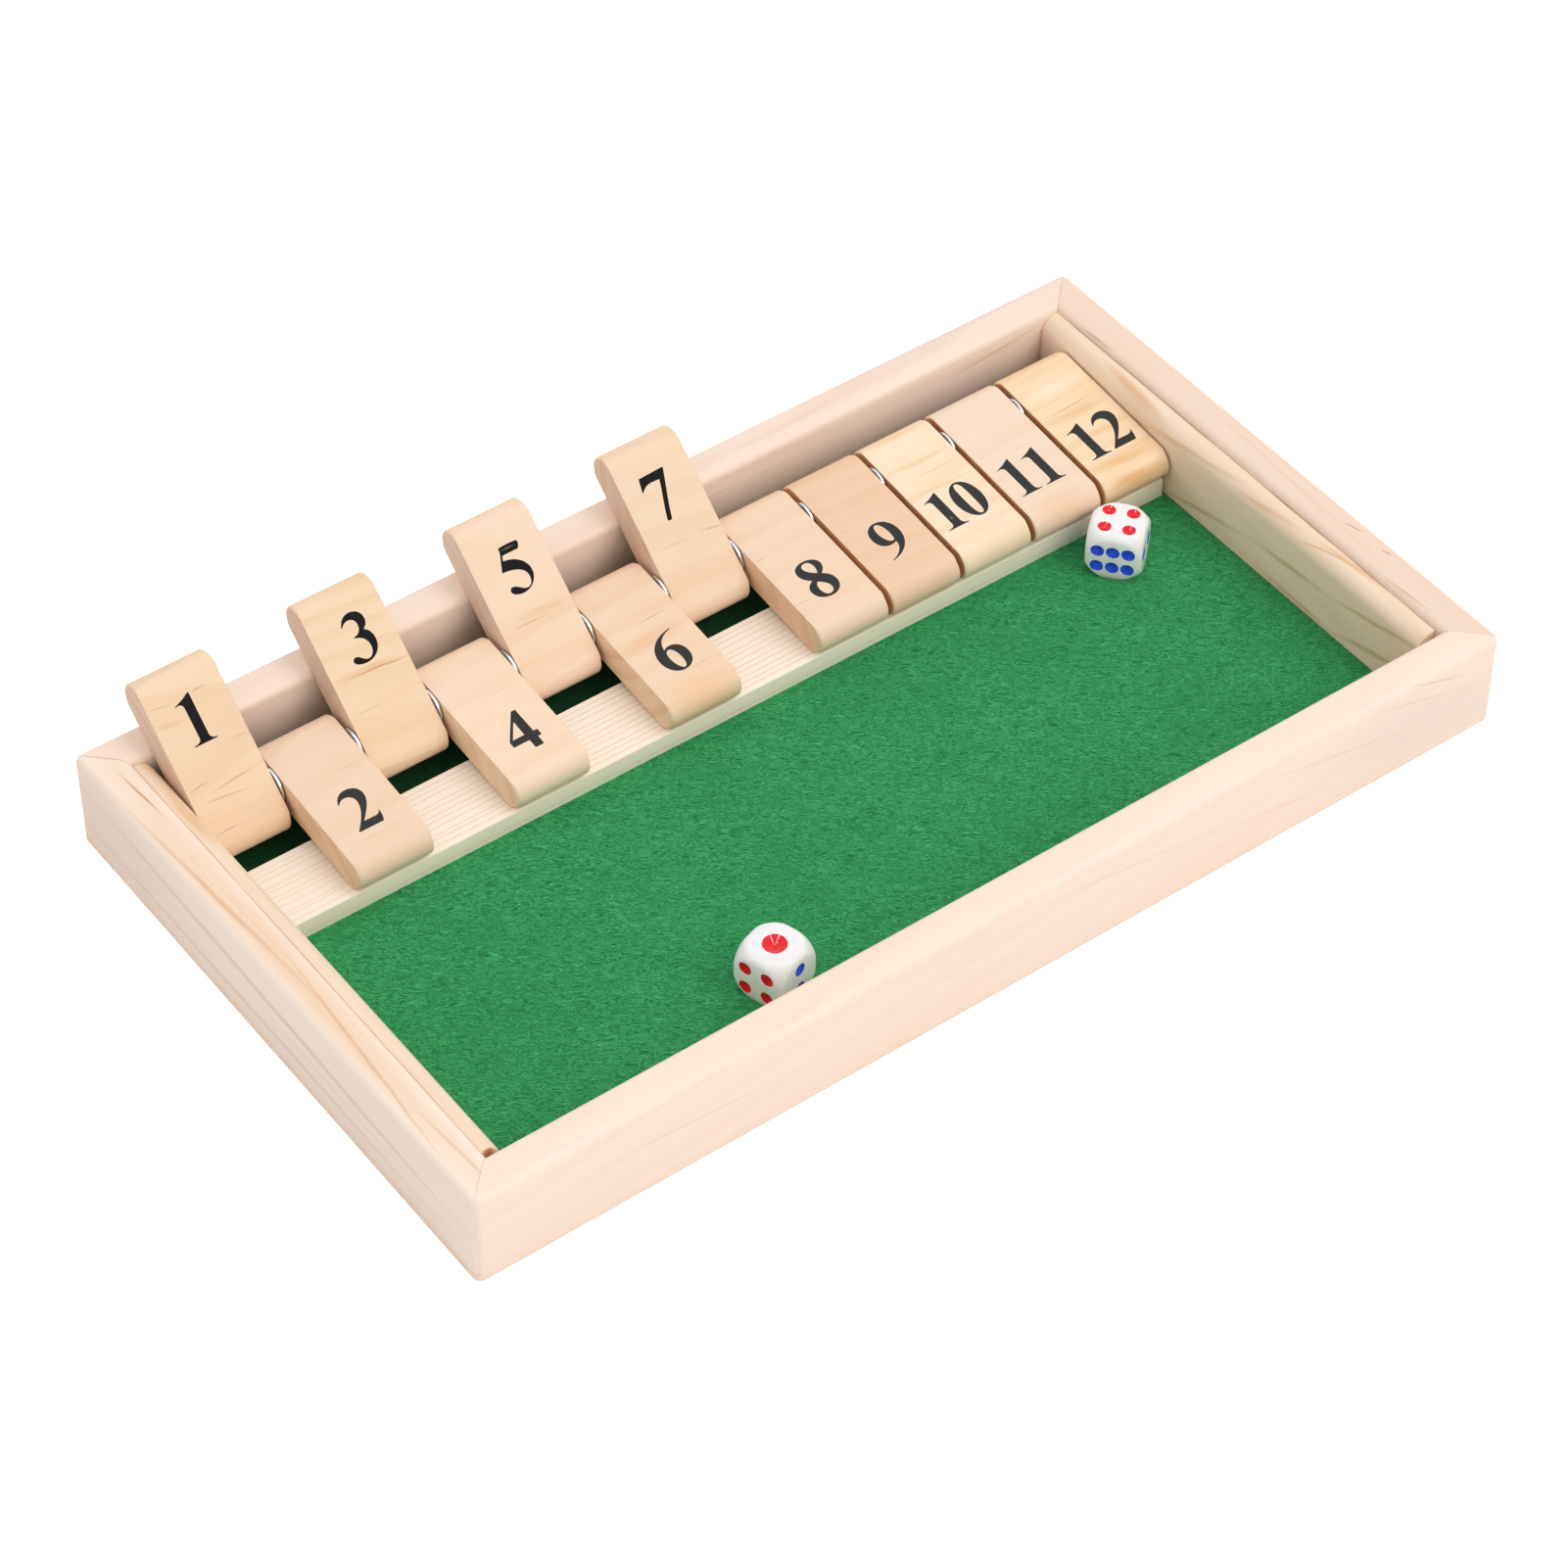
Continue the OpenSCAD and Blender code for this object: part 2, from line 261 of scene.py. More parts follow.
def mark_mask(tree, grain, spot, size, lean=(0, 0, 0), strength=1.0):
    """Mask of one mark from its place, its half sizes, its lean in degrees and its strength."""
    turn = tuple(math.radians(a) for a in lean)
    mark = add(tree, "Group", {"Grain": grain, "Place": spot, "Size": size, "Turn": turn,
                               "Strength": strength}, node_tree=soft_mark)
    return mark.outputs["Mask"]


def wood(name, origin, turn, pale, dark, heart=(0, 40, -60), slope=0.02, pitch=3.0, wander=1.5,
         ring_strength=0.35, mottle_strength=0.25, fibre_strength=0.12, warm=(236, 190, 140),
         marks=(), waver=0.6, cut_ends=None, roughness=0.6):
    """Sanded, unfinished wood. origin in millimetres and turn in degrees bring the object's
    coordinates to the board's own, with X along the grain. Marks waver to each side by up to
    waver. cut_ends is the half length of a board and the darker shade of its end grain; where
    the end shows only in a narrow gap, that shade also holds painted shade of the gap."""
    material, tree, shader, place = new_material(name)
    grain = own_axes(tree, place, origin, turn)
    rings = add(tree, "Group", {"Grain": grain, "Heart": heart, "Slope": slope, "Pitch": pitch,
                                "Wander": wander}, node_tree=growth_rings)
    ring, mottle, fibre = (rings.outputs[k] for k in ("Ring", "Mottle", "Fibre"))
    colour = blend_colour(tree, sums(tree, "MULTIPLY", ring, ring_strength), srgb(*pale), srgb(*dark))
    patch = sums(tree, "MULTIPLY", eased_step(tree, mottle, 0.45, 0.75), mottle_strength)
    colour = blend_colour(tree, patch, colour, srgb(*warm))
    sway = sums(tree, "MULTIPLY_ADD", scaled_noise(tree, grain, (0.05, 0.03, 0.03), 1.0),
                4 * waver, -2 * waver)
    sway = add(tree, "CombineXYZ", {"Y": sway, "Z": sway}).outputs[0]
    swayed = add(tree, "VectorMath", {0: grain, 1: sway}, operation="ADD").outputs[0]
    for spot, size, lean, strength, shade in marks:
        mask = mark_mask(tree, swayed, spot, size, lean, strength)
        broken = sums(tree, "MULTIPLY", mask, sums(tree, "MULTIPLY_ADD", fibre, 1.4, 0.3))
        colour = blend_colour(tree, broken, colour, srgb(*shade))
    streak = sums(tree, "MULTIPLY", eased_step(tree, fibre, 0.45, 0.8), fibre_strength)
    colour = blend_colour(tree, streak, colour, srgb(*dark))
    if cut_ends:
        half_length, end_shade = cut_ends
        along = add(tree, "SeparateXYZ", {0: grain}).outputs["X"]
        at_end = eased_step(tree, sums(tree, "ABSOLUTE", along), half_length - 0.2, half_length - 0.05)
        ringed = blend_colour(tree, sums(tree, "MULTIPLY", ring, 0.5), srgb(*end_shade), srgb(*dark))
        colour = blend_colour(tree, at_end, colour, ringed)
    tree.links.new(colour, shader.inputs["Base Color"])
    tree.links.new(sums(tree, "MULTIPLY_ADD", fibre, 0.2, roughness - 0.1), shader.inputs["Roughness"])
    relief = sums(tree, "MULTIPLY_ADD", ring, 0.5, fibre)
    bump = add(tree, "Bump", {"Strength": 0.12, "Distance": 0.0001, "Height": relief})
    tree.links.new(bump.outputs[0], shader.inputs["Normal"])
    shader.inputs["Specular IOR Level"].default_value = 0.35
    return material


def finish_piece(piece, material, body, slot, *nodes):
    """Gives a piece its material and its body, and hides the CAD nodes it stands for. slot is not used."""
    if material:
        piece.data.materials.append(material)
    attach(piece, body)
    if nodes:
        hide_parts(*nodes)
    return piece


board_edge = wood("board edge", (0, 0, 0), (0, 0, 0), (249, 226, 208), (226, 192, 164),
                  heart=(0, 60, 200), pitch=1.1, ring_strength=0.3)
base_board = slab("base_board_piece", box_half_x, box_half_y, box_corner, 0, board_top, board_ease)
finish_piece(base_board, board_edge, "tray", "pine", "base_board")


# RAILS
# Four planed pine boards, mitred at the corners and glued on edge to the base board. Their
# upper edges and the four outer corners are sanded round.
rail_low, rail_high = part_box("front_rail")
rail_top = rail_high.z / MM
rail_thick = (rail_high.y - rail_low.y) / MM
rail_round = 2.5
foot_ease = 0.35
mitre_groove = 0.1


def rail_section():
    """Section of a rail as (depth behind its outer face, height), closed."""
    r, low, high = rail_round, board_top, rail_top
    return np.concatenate([
        quarter((foot_ease, low + foot_ease), foot_ease, 270, 4),
        quarter((r, high - r), r, 180), quarter((rail_thick - r, high - r), r, 90),
        [[rail_thick, low]],
    ])


def rail_rings(half_run, half_span):
    """Rings along a rail at the +Y side. A point of depth d turns the outer corner on an arc
    of radius max(r - d, 0) about a point max(r, d) behind both faces, up to the mitre."""
    section = rail_section()
    middle = section.mean(0)
    half_section = np.array([rail_thick, rail_top - board_top]) / 2
    shrunk = middle + (section - middle) * (1 - mitre_groove / half_section)
    angle = np.radians(np.linspace(135, 90, 8))
    depth, height = section[:, 0], section[:, 1]
    behind = np.maximum(depth, rail_round)
    turn = np.maximum(rail_round - depth, 0)
    x = -(half_run - behind) + turn * np.cos(angle)[:, None] + mitre_groove
    y = (half_span - behind) + turn * np.sin(angle)[:, None]
    left = np.stack([x, y, np.broadcast_to(height, x.shape)], -1)
    seam_behind = np.maximum(shrunk[:, 0], rail_round)
    seam_turn = np.maximum(rail_round - shrunk[:, 0], 0) * math.sqrt(0.5)
    seam = np.stack([-(half_run - seam_behind) - seam_turn, half_span - seam_behind + seam_turn,
                     shrunk[:, 1]], -1)
    left = np.concatenate([seam[None], left])
    return np.concatenate([left, (left * (-1, 1, 1))[::-1]])


def turned(points, degrees):
    """Points turned about the Z axis."""
    c, s = math.cos(math.radians(degrees)), math.sin(math.radians(degrees))
    return points @ np.array([[c, s, 0], [-s, c, 0], [0, 0, 1]])


# Marks as (place, half size, lean, strength, shade) in the rail's own frame, X along the rail
rail_marks = {
    "front": [((118, -99, 20), (42, 3, 0.4), (0, 12, 0), 0.5, (232, 176, 140)),
              ((146, -99, 24), (26, 3, 0.35), (0, 16, 0), 0.6, (230, 168, 130)),
              ((152, -99, 28), (16, 5, 0.4), (0, 20, 0), 0.6, (230, 168, 130)),
              ((96, -99, 12), (40, 3, 0.5), (0, 10, 0), 0.35, (226, 184, 156)),
              ((146, -99, 14), (52, 3, 18), (0, 8, 0), 0.55, (236, 218, 204)),
              ((-104, -99, 17), (30, 3, 0.5), (0, 5, 0), 0.4, (230, 182, 148)),
              ((40, -99, 22), (50, 3, 0.6), (0, 7, 0), 0.3, (230, 186, 154))],
    "back": [((90, 93, 31), (60, 2.2, 6), (0, 0, 1), 0.18, (226, 180, 140)),
             # The broad pale band low on the back rail's inner face is painted light that lifts the shade
             # the tiles cast there
             ((0, 86, 16), (200, 1.5, 16), (0, 0, 0), 0.9, (253, 224, 194)),
             ((30, 87, 25), (70, 2, 0.6), (0, 2, 0), 0.25, (216, 172, 136)),
             ((140, 87, 27), (26, 2, 1.0), (0, -6, 0), 0.45, (226, 160, 110))],
    "left": [((0, 0, 33), (140, 7, 3), (0, 0, 0), 0.85, (243, 209, 178)),
             ((84, 6, 16), (70, 3, 24), (0, 0, 0), 0.4, (228, 202, 186)),
             ((30, 2.2, 32), (62, 1.1, 6), (0, 0, 3), 0.6, (226, 172, 122)),
             ((-40, 1.0, 32), (55, 0.8, 6), (0, 0, -4), 0.6, (222, 168, 118)),
             ((-82, -1, 32), (24, 0.7, 6), (0, 0, 4), 0.45, (222, 168, 118)),
             ((74, -1.5, 32), (16, 0.5, 6), (0, 0, 4), 0.9, (206, 150, 100)),
             ((0, 6, 20), (130, 3, 1.7), (0, -1.8, 0), 0.6, (212, 186, 166)),
             ((10, 6, 8.5), (130, 3, 1.2), (0, 0.4, 0), 0.5, (214, 186, 164)),
             ((-30, 6, 14), (60, 3, 0.5), (0, -1.2, 0), 0.4, (222, 192, 168))],
    "right": [((-20, 0, 32), (70, 0.9, 6), (0, 0, -2), 0.25, (226, 184, 150)),
              ((-40, -1.8, 32), (5, 0.35, 6), (0, 0, 14), 0.8, (178, 122, 92)),
              ((-53.5, -2.3, 32), (2.6, 0.35, 6), (0, 0, 14), 0.8, (160, 98, 72)),
              ((69, 5.3, 31), (9, 0.4, 6), (0, 0, 2), 0.6, (176, 122, 90)),
              ((-70, 4.2, 32), (14, 0.5, 6), (0, 0, 3), 0.5, (214, 150, 120))],
}
rail_woods = {
    "front": dict(pale=(252, 229, 212), dark=(232, 194, 166), heart=(0, -60, 90), slope=0.09,
                  pitch=9.0, wander=4.0, ring_strength=0.12, mottle_strength=0.1),
    "back": dict(pale=(249, 226, 210), dark=(228, 186, 156), heart=(0, 130, -40), slope=0.03,
                 pitch=6.0, wander=4.0, ring_strength=0.2, mottle_strength=0.15),
    "left": dict(pale=(251, 233, 217), dark=(226, 192, 168), heart=(0, 300, -20), slope=0.045,
                 pitch=8.0, wander=3.0, ring_strength=0.12, mottle_strength=0.12),
    "right": dict(pale=(243, 218, 199), dark=(228, 184, 154), heart=(0, -60, -30), slope=0.03,
                  pitch=7.0, wander=4.0, ring_strength=0.18, mottle_strength=0.15),
}
rail_x, rail_y = box_half_x - rail_thick / 2, box_half_y - rail_thick / 2
# Half run and half span of the rail, its turn, the origin and turn of its wood, the middle of
# its section and the lean of its mitres
rail_places = {
    "front": (box_half_x, box_half_y, 180, (0, 0, 0), (0, 0, 0), -rail_y, 45),
    "back": (box_half_x, box_half_y, 0, (0, 0, 0), (0, 0, 0), rail_y, -45),
    "left": (box_half_y, box_half_x, 90, (-rail_x, 0, 0), (0, 0, 90), 0, -45),
    "right": (box_half_y, box_half_x, -90, (rail_x, 0, 0), (0, 0, 90), 0, 45),
}
# The glue lines of the mitres: two joints stand a little open, the other two are tight
glue_half = (11, 0.3, 60)
glue_height = 18
glue_shade = (190, 140, 106)
open_joints = (("left", 1), ("back", -1))
for side, (half_run, half_span, degrees, origin, grain_turn, middle, lean) in rail_places.items():
    rail = lofted(side + "_rail_piece", turned(rail_rings(half_run, half_span), degrees))
    glue_lines = [((end * (half_run - rail_thick / 2), middle, glue_height), glue_half,
                   (0, 0, -end * lean), 0.8 if (side, end) in open_joints else 0.3, glue_shade)
                  for end in (-1, 1)]
    rail_wood = wood(side + " rail wood", origin, grain_turn, marks=rail_marks[side] + glue_lines,
                     waver=0.25, warm=(240, 200, 160), fibre_strength=0.1, **rail_woods[side])
    finish_piece(rail, rail_wood, "tray", "pine", side + "_rail")


# SIDE LINERS
# A thinner board glued inside each short rail. It is drilled for the rod, its upper inner
# edge is rounded over, and it stops just short of the front rail.
liner_round = 5
liner_ease = 0.3


def liner_rings(side):
    """Section (distance from the rail, height) of a liner, carried along Y. side is -1 or 1."""
    low, high = (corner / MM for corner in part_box("right_liner"))
    thick, top = high.x - low.x, high.z
    section = np.concatenate([
        [[0, board_top], [0, top - liner_ease]],
        quarter((liner_ease, top - liner_ease), liner_ease, 180, 4)[1:],
        quarter((thick - liner_round, top - liner_round), liner_round, 90, 13), [[thick, board_top]],
    ])
    angle = np.radians(np.linspace(0, 90, 4))
    inset = liner_ease * (1 - np.sin(angle))
    shift = liner_ease * (1 - np.cos(angle))
    inset = np.concatenate([inset, inset[::-1]])
    y = np.concatenate([low.y + shift, high.y - shift[::-1]])
    middle = np.array([thick / 2, (board_top + top) / 2])
    half = middle - (0, board_top)
    rings = middle + (section - middle) * (1 - inset[:, None, None] / half)
    x = side * (high.x - rings[..., 0])
    return np.stack([x, np.broadcast_to(y[:, None], x.shape), rings[..., 1]], -1)


# Marks as (place along, across and up, half size, lean, strength, shade)
right_liner_marks = [
    ((9, 157, 9.6), (26, 3, 1.4), (0, 13, 0), 0.6, (190, 160, 112)),
    ((-30, 157, 16.4), (24, 3, 1.4), (0, 5, 0), 0.6, (190, 160, 112)),
    ((-67, 157, 22.3), (25, 3, 1.4), (0, 13, 0), 0.6, (190, 160, 112)),
    ((-34, 157, 6), (22, 3, 1.4), (0, -1, 0), 0.5, (190, 160, 116)),
    ((-66, 157, 10.4), (22, 3, 1.6), (0, 16, 0), 0.6, (190, 160, 112)),
    ((46, 157, 22), (40, 3, 1.0), (0, 9, 0), 0.4, (200, 166, 118)),
    ((20, 158, 27), (36, 4, 1.0), (0, 7, 0), 0.5, (218, 172, 120)),
    ((46, 159.5, 30), (20, 2.2, 6), (0, 0, -4), 0.6, (228, 172, 120)),
    ((-14, 158, 28.6), (20, 1.5, 1.0), (0, 4, 8), 0.5, (216, 168, 114)),
    ((-43, 160, 30), (17, 0.5, 6), (0, 0, 11), 0.6, (212, 158, 102)),
    ((-51, 161.6, 31), (20, 1.3, 6), (0, 0, 5), 0.6, (226, 174, 118)),
]
left_liner_marks = [
    ((0, -161, 31), (130, 4, 6), (0, 0, 0), 0.5, (236, 213, 188)),
    ((62, -160, 31), (20, 3.4, 6), (0, 0, 0), 0.6, (226, 172, 112)),
    ((20, -158.5, 31), (40, 0.5, 6), (0, 0, 1), 0.4, (214, 160, 104)),
    ((-84.6, -160.5, 28), (0.9, 2.6, 6), (0, 0, 0), 0.9, (184, 108, 60)),
]
for side, sign, marks, seam_dark in (("left", -1, left_liner_marks, 0.4),
                                     ("right", 1, right_liner_marks, 0.9)):
    liner = lofted(side + "_liner_piece", liner_rings(sign))
    seam = ((0, sign * (box_half_x - rail_thick), 30), (300, 0.45, 1.6), (0, 0, 0), seam_dark,
            (150, 100, 62))
    marks = [((y, -x, z), size, lean, strength, shade)
             for (y, x, z), size, lean, strength, shade in marks + [seam]]
    liner_wood = wood(side + " liner wood", (0, 0, 0), (0, 0, 90), (250, 225, 200), (214, 168, 124),
                      heart=(0, -sign * 190, 60), slope=0.11, pitch=9.0, wander=3.0, waver=0.3,
                      ring_strength=0.15, mottle_strength=0.2, marks=marks)
    finish_piece(liner, liner_wood, "tray", "pine", side + "_liner")


# FELT
# A rectangle of green wool felt about a millimetre thick, glued flat on the base board inside
# the rails. Its nap is short matted fibres that lie in all directions, mostly one way.
felt_low, felt_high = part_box("felt_mat")
felt_across = (felt_high.x - felt_low.x) / MM
felt_deep = (felt_high.y - felt_low.y) / MM
felt_top = felt_high.z / MM
felt_wave = 0.05
# Where the painted shade on the felt behind the rest bar begins, in millimetres
felt_painted_shade_from = 50
felt_rows, felt_columns = 159, 89
# Most of the felt's fibres lie at this turn, in degrees
felt_lay = -37


def felt_sheet():
    """Grid of points at the felt's upper face, lifted by two slow waves of felt_wave."""
    x = np.linspace(-felt_across / 2, felt_across / 2, felt_rows)
    y = np.linspace(-felt_deep / 2, felt_deep / 2, felt_columns)
    x, y = np.meshgrid(x, y, indexing="ij")
    lift = felt_wave * (np.sin(x / 9.0 + y / 14.0) * np.cos(y / 11.0 - x / 31.0) - 1)
    points = np.stack([x, y, felt_top + lift], -1)
    faces = grid_faces(felt_rows, felt_columns, wrap_columns=False)
    return put_in_scene("felt_piece", points, faces.tolist())


def felt_cloth():
    """Green felt: strands are noise drawn out along a direction that itself swirls. Behind the bar
    it is painted dark, as painted shade.
    """
    material, tree, shader, place = new_material("green felt")
    flat = own_axes(tree, place, (0, 0, 0), (0, 0, felt_lay))
    swirl = add(tree, "TexNoise", {"Vector": flat, "Scale": 0.22, "Detail": 1.0})
    bent = add(tree, "VectorMath", {0: swirl.outputs["Color"], 1: (7.0, 3.0, 0), 2: flat},
               operation="MULTIPLY_ADD").outputs[0]
    strand = scaled_noise(tree, bent, (0.8, 3.6, 1.0), 3.0, 0.65)
    fine = scaled_noise(tree, bent, (2.4, 7.5, 1.0), 2.0, 0.65)
    cloud = scaled_noise(tree, flat, (0.03, 0.05, 1.0), 3.0, 0.6)
    light = sums(tree, "MULTIPLY_ADD", fine, 0.5, sums(tree, "MULTIPLY", strand, 0.5))
    colour = blend_colour(tree, eased_step(tree, light, 0.38, 0.64), srgb(2, 92, 40), srgb(80, 188, 120))
    tone = sums(tree, "MULTIPLY", eased_step(tree, cloud, 0.35, 0.7), 0.25)
    colour = blend_colour(tree, tone, colour, srgb(30, 122, 62))
    # Behind the bar the felt is painted dark: painted shade where the bar and the tiles keep the light out
    to_back = add(tree, "SeparateXYZ", {0: place}).outputs["Y"]
    painted_shade_behind_bar = eased_step(tree, to_back, felt_painted_shade_from * MM, (felt_painted_shade_from + 2) * MM)
    colour = blend_colour(tree, sums(tree, "MULTIPLY", painted_shade_behind_bar, 0.85), colour, srgb(4, 34, 20))
    tree.links.new(colour, shader.inputs["Base Color"])
    bump = add(tree, "Bump", {"Strength": 0.6, "Distance": 0.0003, "Height": light})
    tree.links.new(bump.outputs[0], shader.inputs["Normal"])
    shader.inputs["Roughness"].default_value = 0.95
    shader.inputs["Specular IOR Level"].default_value = 0.1
    shader.inputs["Sheen Weight"].default_value = 0.25
    shader.inputs["Sheen Roughness"].default_value = 0.5
    shader.inputs["Sheen Tint"].default_value = srgb(150, 215, 165)
    return material


felt = felt_sheet()
felt.data.shade_smooth()
felt_thickness = felt.modifiers.new("thickness", "SOLIDIFY")
felt_thickness.thickness = (felt_high.z - felt_low.z)
felt_thickness.offset = -1
finish_piece(felt, felt_cloth(), "tray", "felt", "felt_mat")


# REST BAR
# A flat strip of straight-grained pine that the lowered tiles lie on. A thin nail through
# each liner holds its ends; the nails are plain steel wire and stay hidden in the wood.
bar_low, bar_high = (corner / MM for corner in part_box("rest_bar"))
bar_ease = 0.4
bar_marks = [((0, y, 11), (400, 0.24, 3), (0, 0, lean), 0.6, (218, 172, 126))
             for y, lean in ((28.2, 0.1), (30.1, -0.1), (32.0, 0.15), (34.3, 0), (36.2, -0.1), (38.4, 0.1),
                             (40.5, 0), (42.4, 0.1), (44.9, -0.1), (47.0, 0), (49.0, 0.1))]
# The first of these is painted light: a warm band on the bar's front face that takes back the green light
# the felt throws on it. The second is a faint line in the wood.
bar_marks += [((0, bar_low.y, 8), (400, 1, 9), (0, 0, 0), 0.6, (255, 238, 214)),
              ((0, bar_low.y, 6.2), (400, 1, 0.35), (0, 0, 0), 0.35, (196, 172, 132))]
bar_wood = wood("rest bar wood", (0, 0, 0), (0, 0, 0), (254, 243, 229), (228, 196, 158),
                heart=(0, 38, -160), slope=0.002, pitch=2.6, wander=0.5, ring_strength=0.12,
                mottle_strength=0.06, fibre_strength=0.08, marks=bar_marks, waver=0.15)
rest_bar = slab("rest_bar_piece", (bar_high.x - bar_low.x) / 2, (bar_high.y - bar_low.y) / 2, 0.4,
                bar_low.z, bar_high.z, bar_ease, centre=(0, (bar_low.y + bar_high.y) / 2))
finish_piece(rest_bar, bar_wood, "tray", "pine", "rest_bar")


# ROD, NAILS AND WASHERS
# One bright steel rod runs through all the tiles and into both liners. A pressed steel washer
# sits on it between each two tiles, and shows as a thin bright crescent.
rod_low, rod_high = (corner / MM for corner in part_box("pivot_rod"))
rod_y = (rod_low.y + rod_high.y) / 2
rod_z = (rod_low.z + rod_high.z) / 2
rod_radius = (rod_high.z - rod_low.z) / 2
washer_low, washer_high = (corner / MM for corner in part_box("washers"))
washer_radius = (washer_high.z - washer_low.z) / 2
washer_bore = rod_radius + 0.6
washer_thick = 1.4
washer_round = 0.5
washer_sides = 64
# How far each washer hangs below the rod's axis in its loose bore
washer_drops = np.array([0.1, 0.05, 0.2, 0.1, 0.15, 0.1, 0.1, 0.0, 0.35, 0.15, 0.5])
tile_pitch = (washer_high.x - washer_low.x - washer_thick) / (len(washer_drops) - 1)


def bright_steel(name, rough, darker_from=None):
    """Drawn or pressed steel: faint scratches around it change its roughness. A washer is darker
    further than the given distance in millimetres from the middle of its thickness."""
    material, tree, shader, place = new_material(name)
    scratch = scaled_noise(tree, place, (4000, 900, 900), 2.0)
    tree.links.new(sums(tree, "MULTIPLY_ADD", scratch, 0.2, rough), shader.inputs["Roughness"])
    shader.inputs["Base Color"].default_value = srgb(228, 229, 233)
    shader.inputs["Metallic"].default_value = 1.0
    if darker_from:
        along = add(tree, "SeparateXYZ", {0: place}).outputs["X"]
        off_middle = sums(tree, "PINGPONG", along, tile_pitch / 2 * MM)
        darker_sides = eased_step(tree, off_middle, darker_from * MM, (darker_from + 0.25) * MM)
        shade = blend_colour(tree, darker_sides, srgb(236, 237, 240), srgb(128, 118, 112))
        tree.links.new(shade, shader.inputs["Base Color"])
    return material


def washer_stack():
    """Eleven rings with round edges. Around the rod: (x, rho cos a, rho sin a - drop), where
    (x, rho) runs round a section of rounded corners."""
    half_t, half_w = washer_thick / 2, (washer_radius - washer_bore) / 2
    section = rounded_outline(half_t, half_w, washer_round, 5)
    rho = section[:, 1] + washer_bore + half_w
    angle = np.linspace(0, 2 * np.pi, washer_sides, endpoint=False)[:, None]
    ring = np.stack([np.broadcast_to(section[:, 0], (washer_sides, len(section))),
                     rod_y + rho * np.cos(angle), rod_z + rho * np.sin(angle)], -1)
    count = len(washer_drops)
    centres = (np.arange(count) - (count - 1) / 2) * tile_pitch
    points = ring[None] + np.stack([centres, centres * 0, -washer_drops], -1)[:, None, None]
    faces = grid_faces(washer_sides, len(section), wrap_rows=True)
    faces = faces[None] + (np.arange(count) * washer_sides * len(section))[:, None, None]
    return seal(put_in_scene("washers_piece", points, faces.reshape(-1, 4).tolist()), crease=60)


finish_piece(washer_stack(), bright_steel("washer steel", 0.15, 0.2), "tray", "steel", "washers")
for node in ("pivot_rod", "bar_nails"):
    steel_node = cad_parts[node]
    steel_node.data.materials.clear()
    steel_node.data.materials.append(bright_steel(node.replace("_", " ") + " steel", 0.2))


# TILES
# Twelve blocks of pine moulding with two half-round long sides, cut across the grain to one
# width, drilled through for the rod and sanded, so that the grain runs along the row.
TILE_COUNT = 12
RAISED = (1, 3, 5, 7)
tile_low, tile_high = (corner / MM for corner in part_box("tile_02"))
tile_wide = tile_high.x - tile_low.x
tile_thick = 10.4
tile_reach = 42.9
tile_heel = 12.6
tile_bore = rod_radius + 0.05
lowered_tilt = 5.785
raised_turn = 41.8835 - 180
side_ease = 0.25
end_ease = 1.0
mark_through = 400


def tile_outline(steps=28, straight_steps=14):
    """Side of a tile about the rod, (y, z) and outward direction: two straights joined by two
    half circles, with the free end towards -y."""
    r = tile_thick / 2
    far, near = r - tile_reach, tile_heel - r
    half = np.radians(np.linspace(90, 270, steps))
    far_end = np.stack([far + r * np.cos(half), r * np.sin(half)], -1)
    near_end = np.stack([near - r * np.cos(half), -r * np.sin(half)], -1)
    y = np.linspace(far, near, straight_steps + 2)[1:-1]
    under = np.stack([y, np.full(len(y), -r)], -1)
    over = np.stack([y[::-1], np.full(len(y), r)], -1)
    outline = np.concatenate([far_end, under, near_end, over])
    out = np.concatenate([
        np.stack([np.cos(half), np.sin(half)], -1), np.tile([0, -1], (len(y), 1)),
        np.stack([-np.cos(half), -np.sin(half)], -1), np.tile([0, 1], (len(y), 1)),
    ])
    return outline, out


def tile_turn(number):
    """Turn of a tile about the rod at rest, in degrees."""
    return raised_turn if number in RAISED else lowered_tilt


def tile_origin(number):
    """Middle of a tile's bore; the tiles are one pitch apart about the tray's middle."""
    return (number - (TILE_COUNT + 1) / 2) * tile_pitch, rod_y, rod_z


def on_tile(number, points):
    """Points of a tile's own frame (x, y, z about the rod) brought to their place: turned about
    X by the tile's rest angle, then moved to the rod at the tile's middle."""
    turn = math.radians(tile_turn(number))
    c, s = math.cos(turn), math.sin(turn)
    return points @ np.array([[1, 0, 0], [0, c, s], [0, -s, c]]) + tile_origin(number)


def tile_rings():
    """Closed skin of a drilled tile. Ring by ring from the left bore edge: bore circle, left
    side drawn in by ease * (1 - sin a) and set back by ease * (1 - cos a), the round outline,
    the right side and the bore again. The ease grows from side_ease to end_ease round the ends."""
    outline, out = tile_outline()
    bend = np.clip((np.abs(out[:, 0]) - 0.05) / 0.6, 0, 1)
    ease = side_ease + (end_ease - side_ease) * bend * bend * (3 - 2 * bend)
    angle = np.radians(np.linspace(0, 90, 6))[:, None, None]
    edge = outline - out * ease[:, None] * (1 - np.sin(angle))
    x = np.broadcast_to(-tile_wide / 2 + ease * (1 - np.cos(angle[..., 0])), edge.shape[:2])
    left = np.concatenate([x[..., None], edge], -1)
    length = np.linalg.norm(outline, axis=1, keepdims=True)
    bore = np.column_stack([np.full(len(outline), -tile_wide / 2), outline / length * tile_bore])
    left = np.concatenate([bore[None], left])
    middle_x = np.linspace(-tile_wide / 2, tile_wide / 2, 6)[1:-1, None, None]
    middle = np.concatenate([np.broadcast_to(middle_x, (4, len(outline), 1)),
                             np.broadcast_to(outline, (4, *outline.shape))], -1)
    return np.concatenate([left, middle, (left * (-1, 1, 1))[::-1]])


BROWN = (176, 122, 74)
TAN = (224, 168, 108)
GREY = (150, 128, 112)
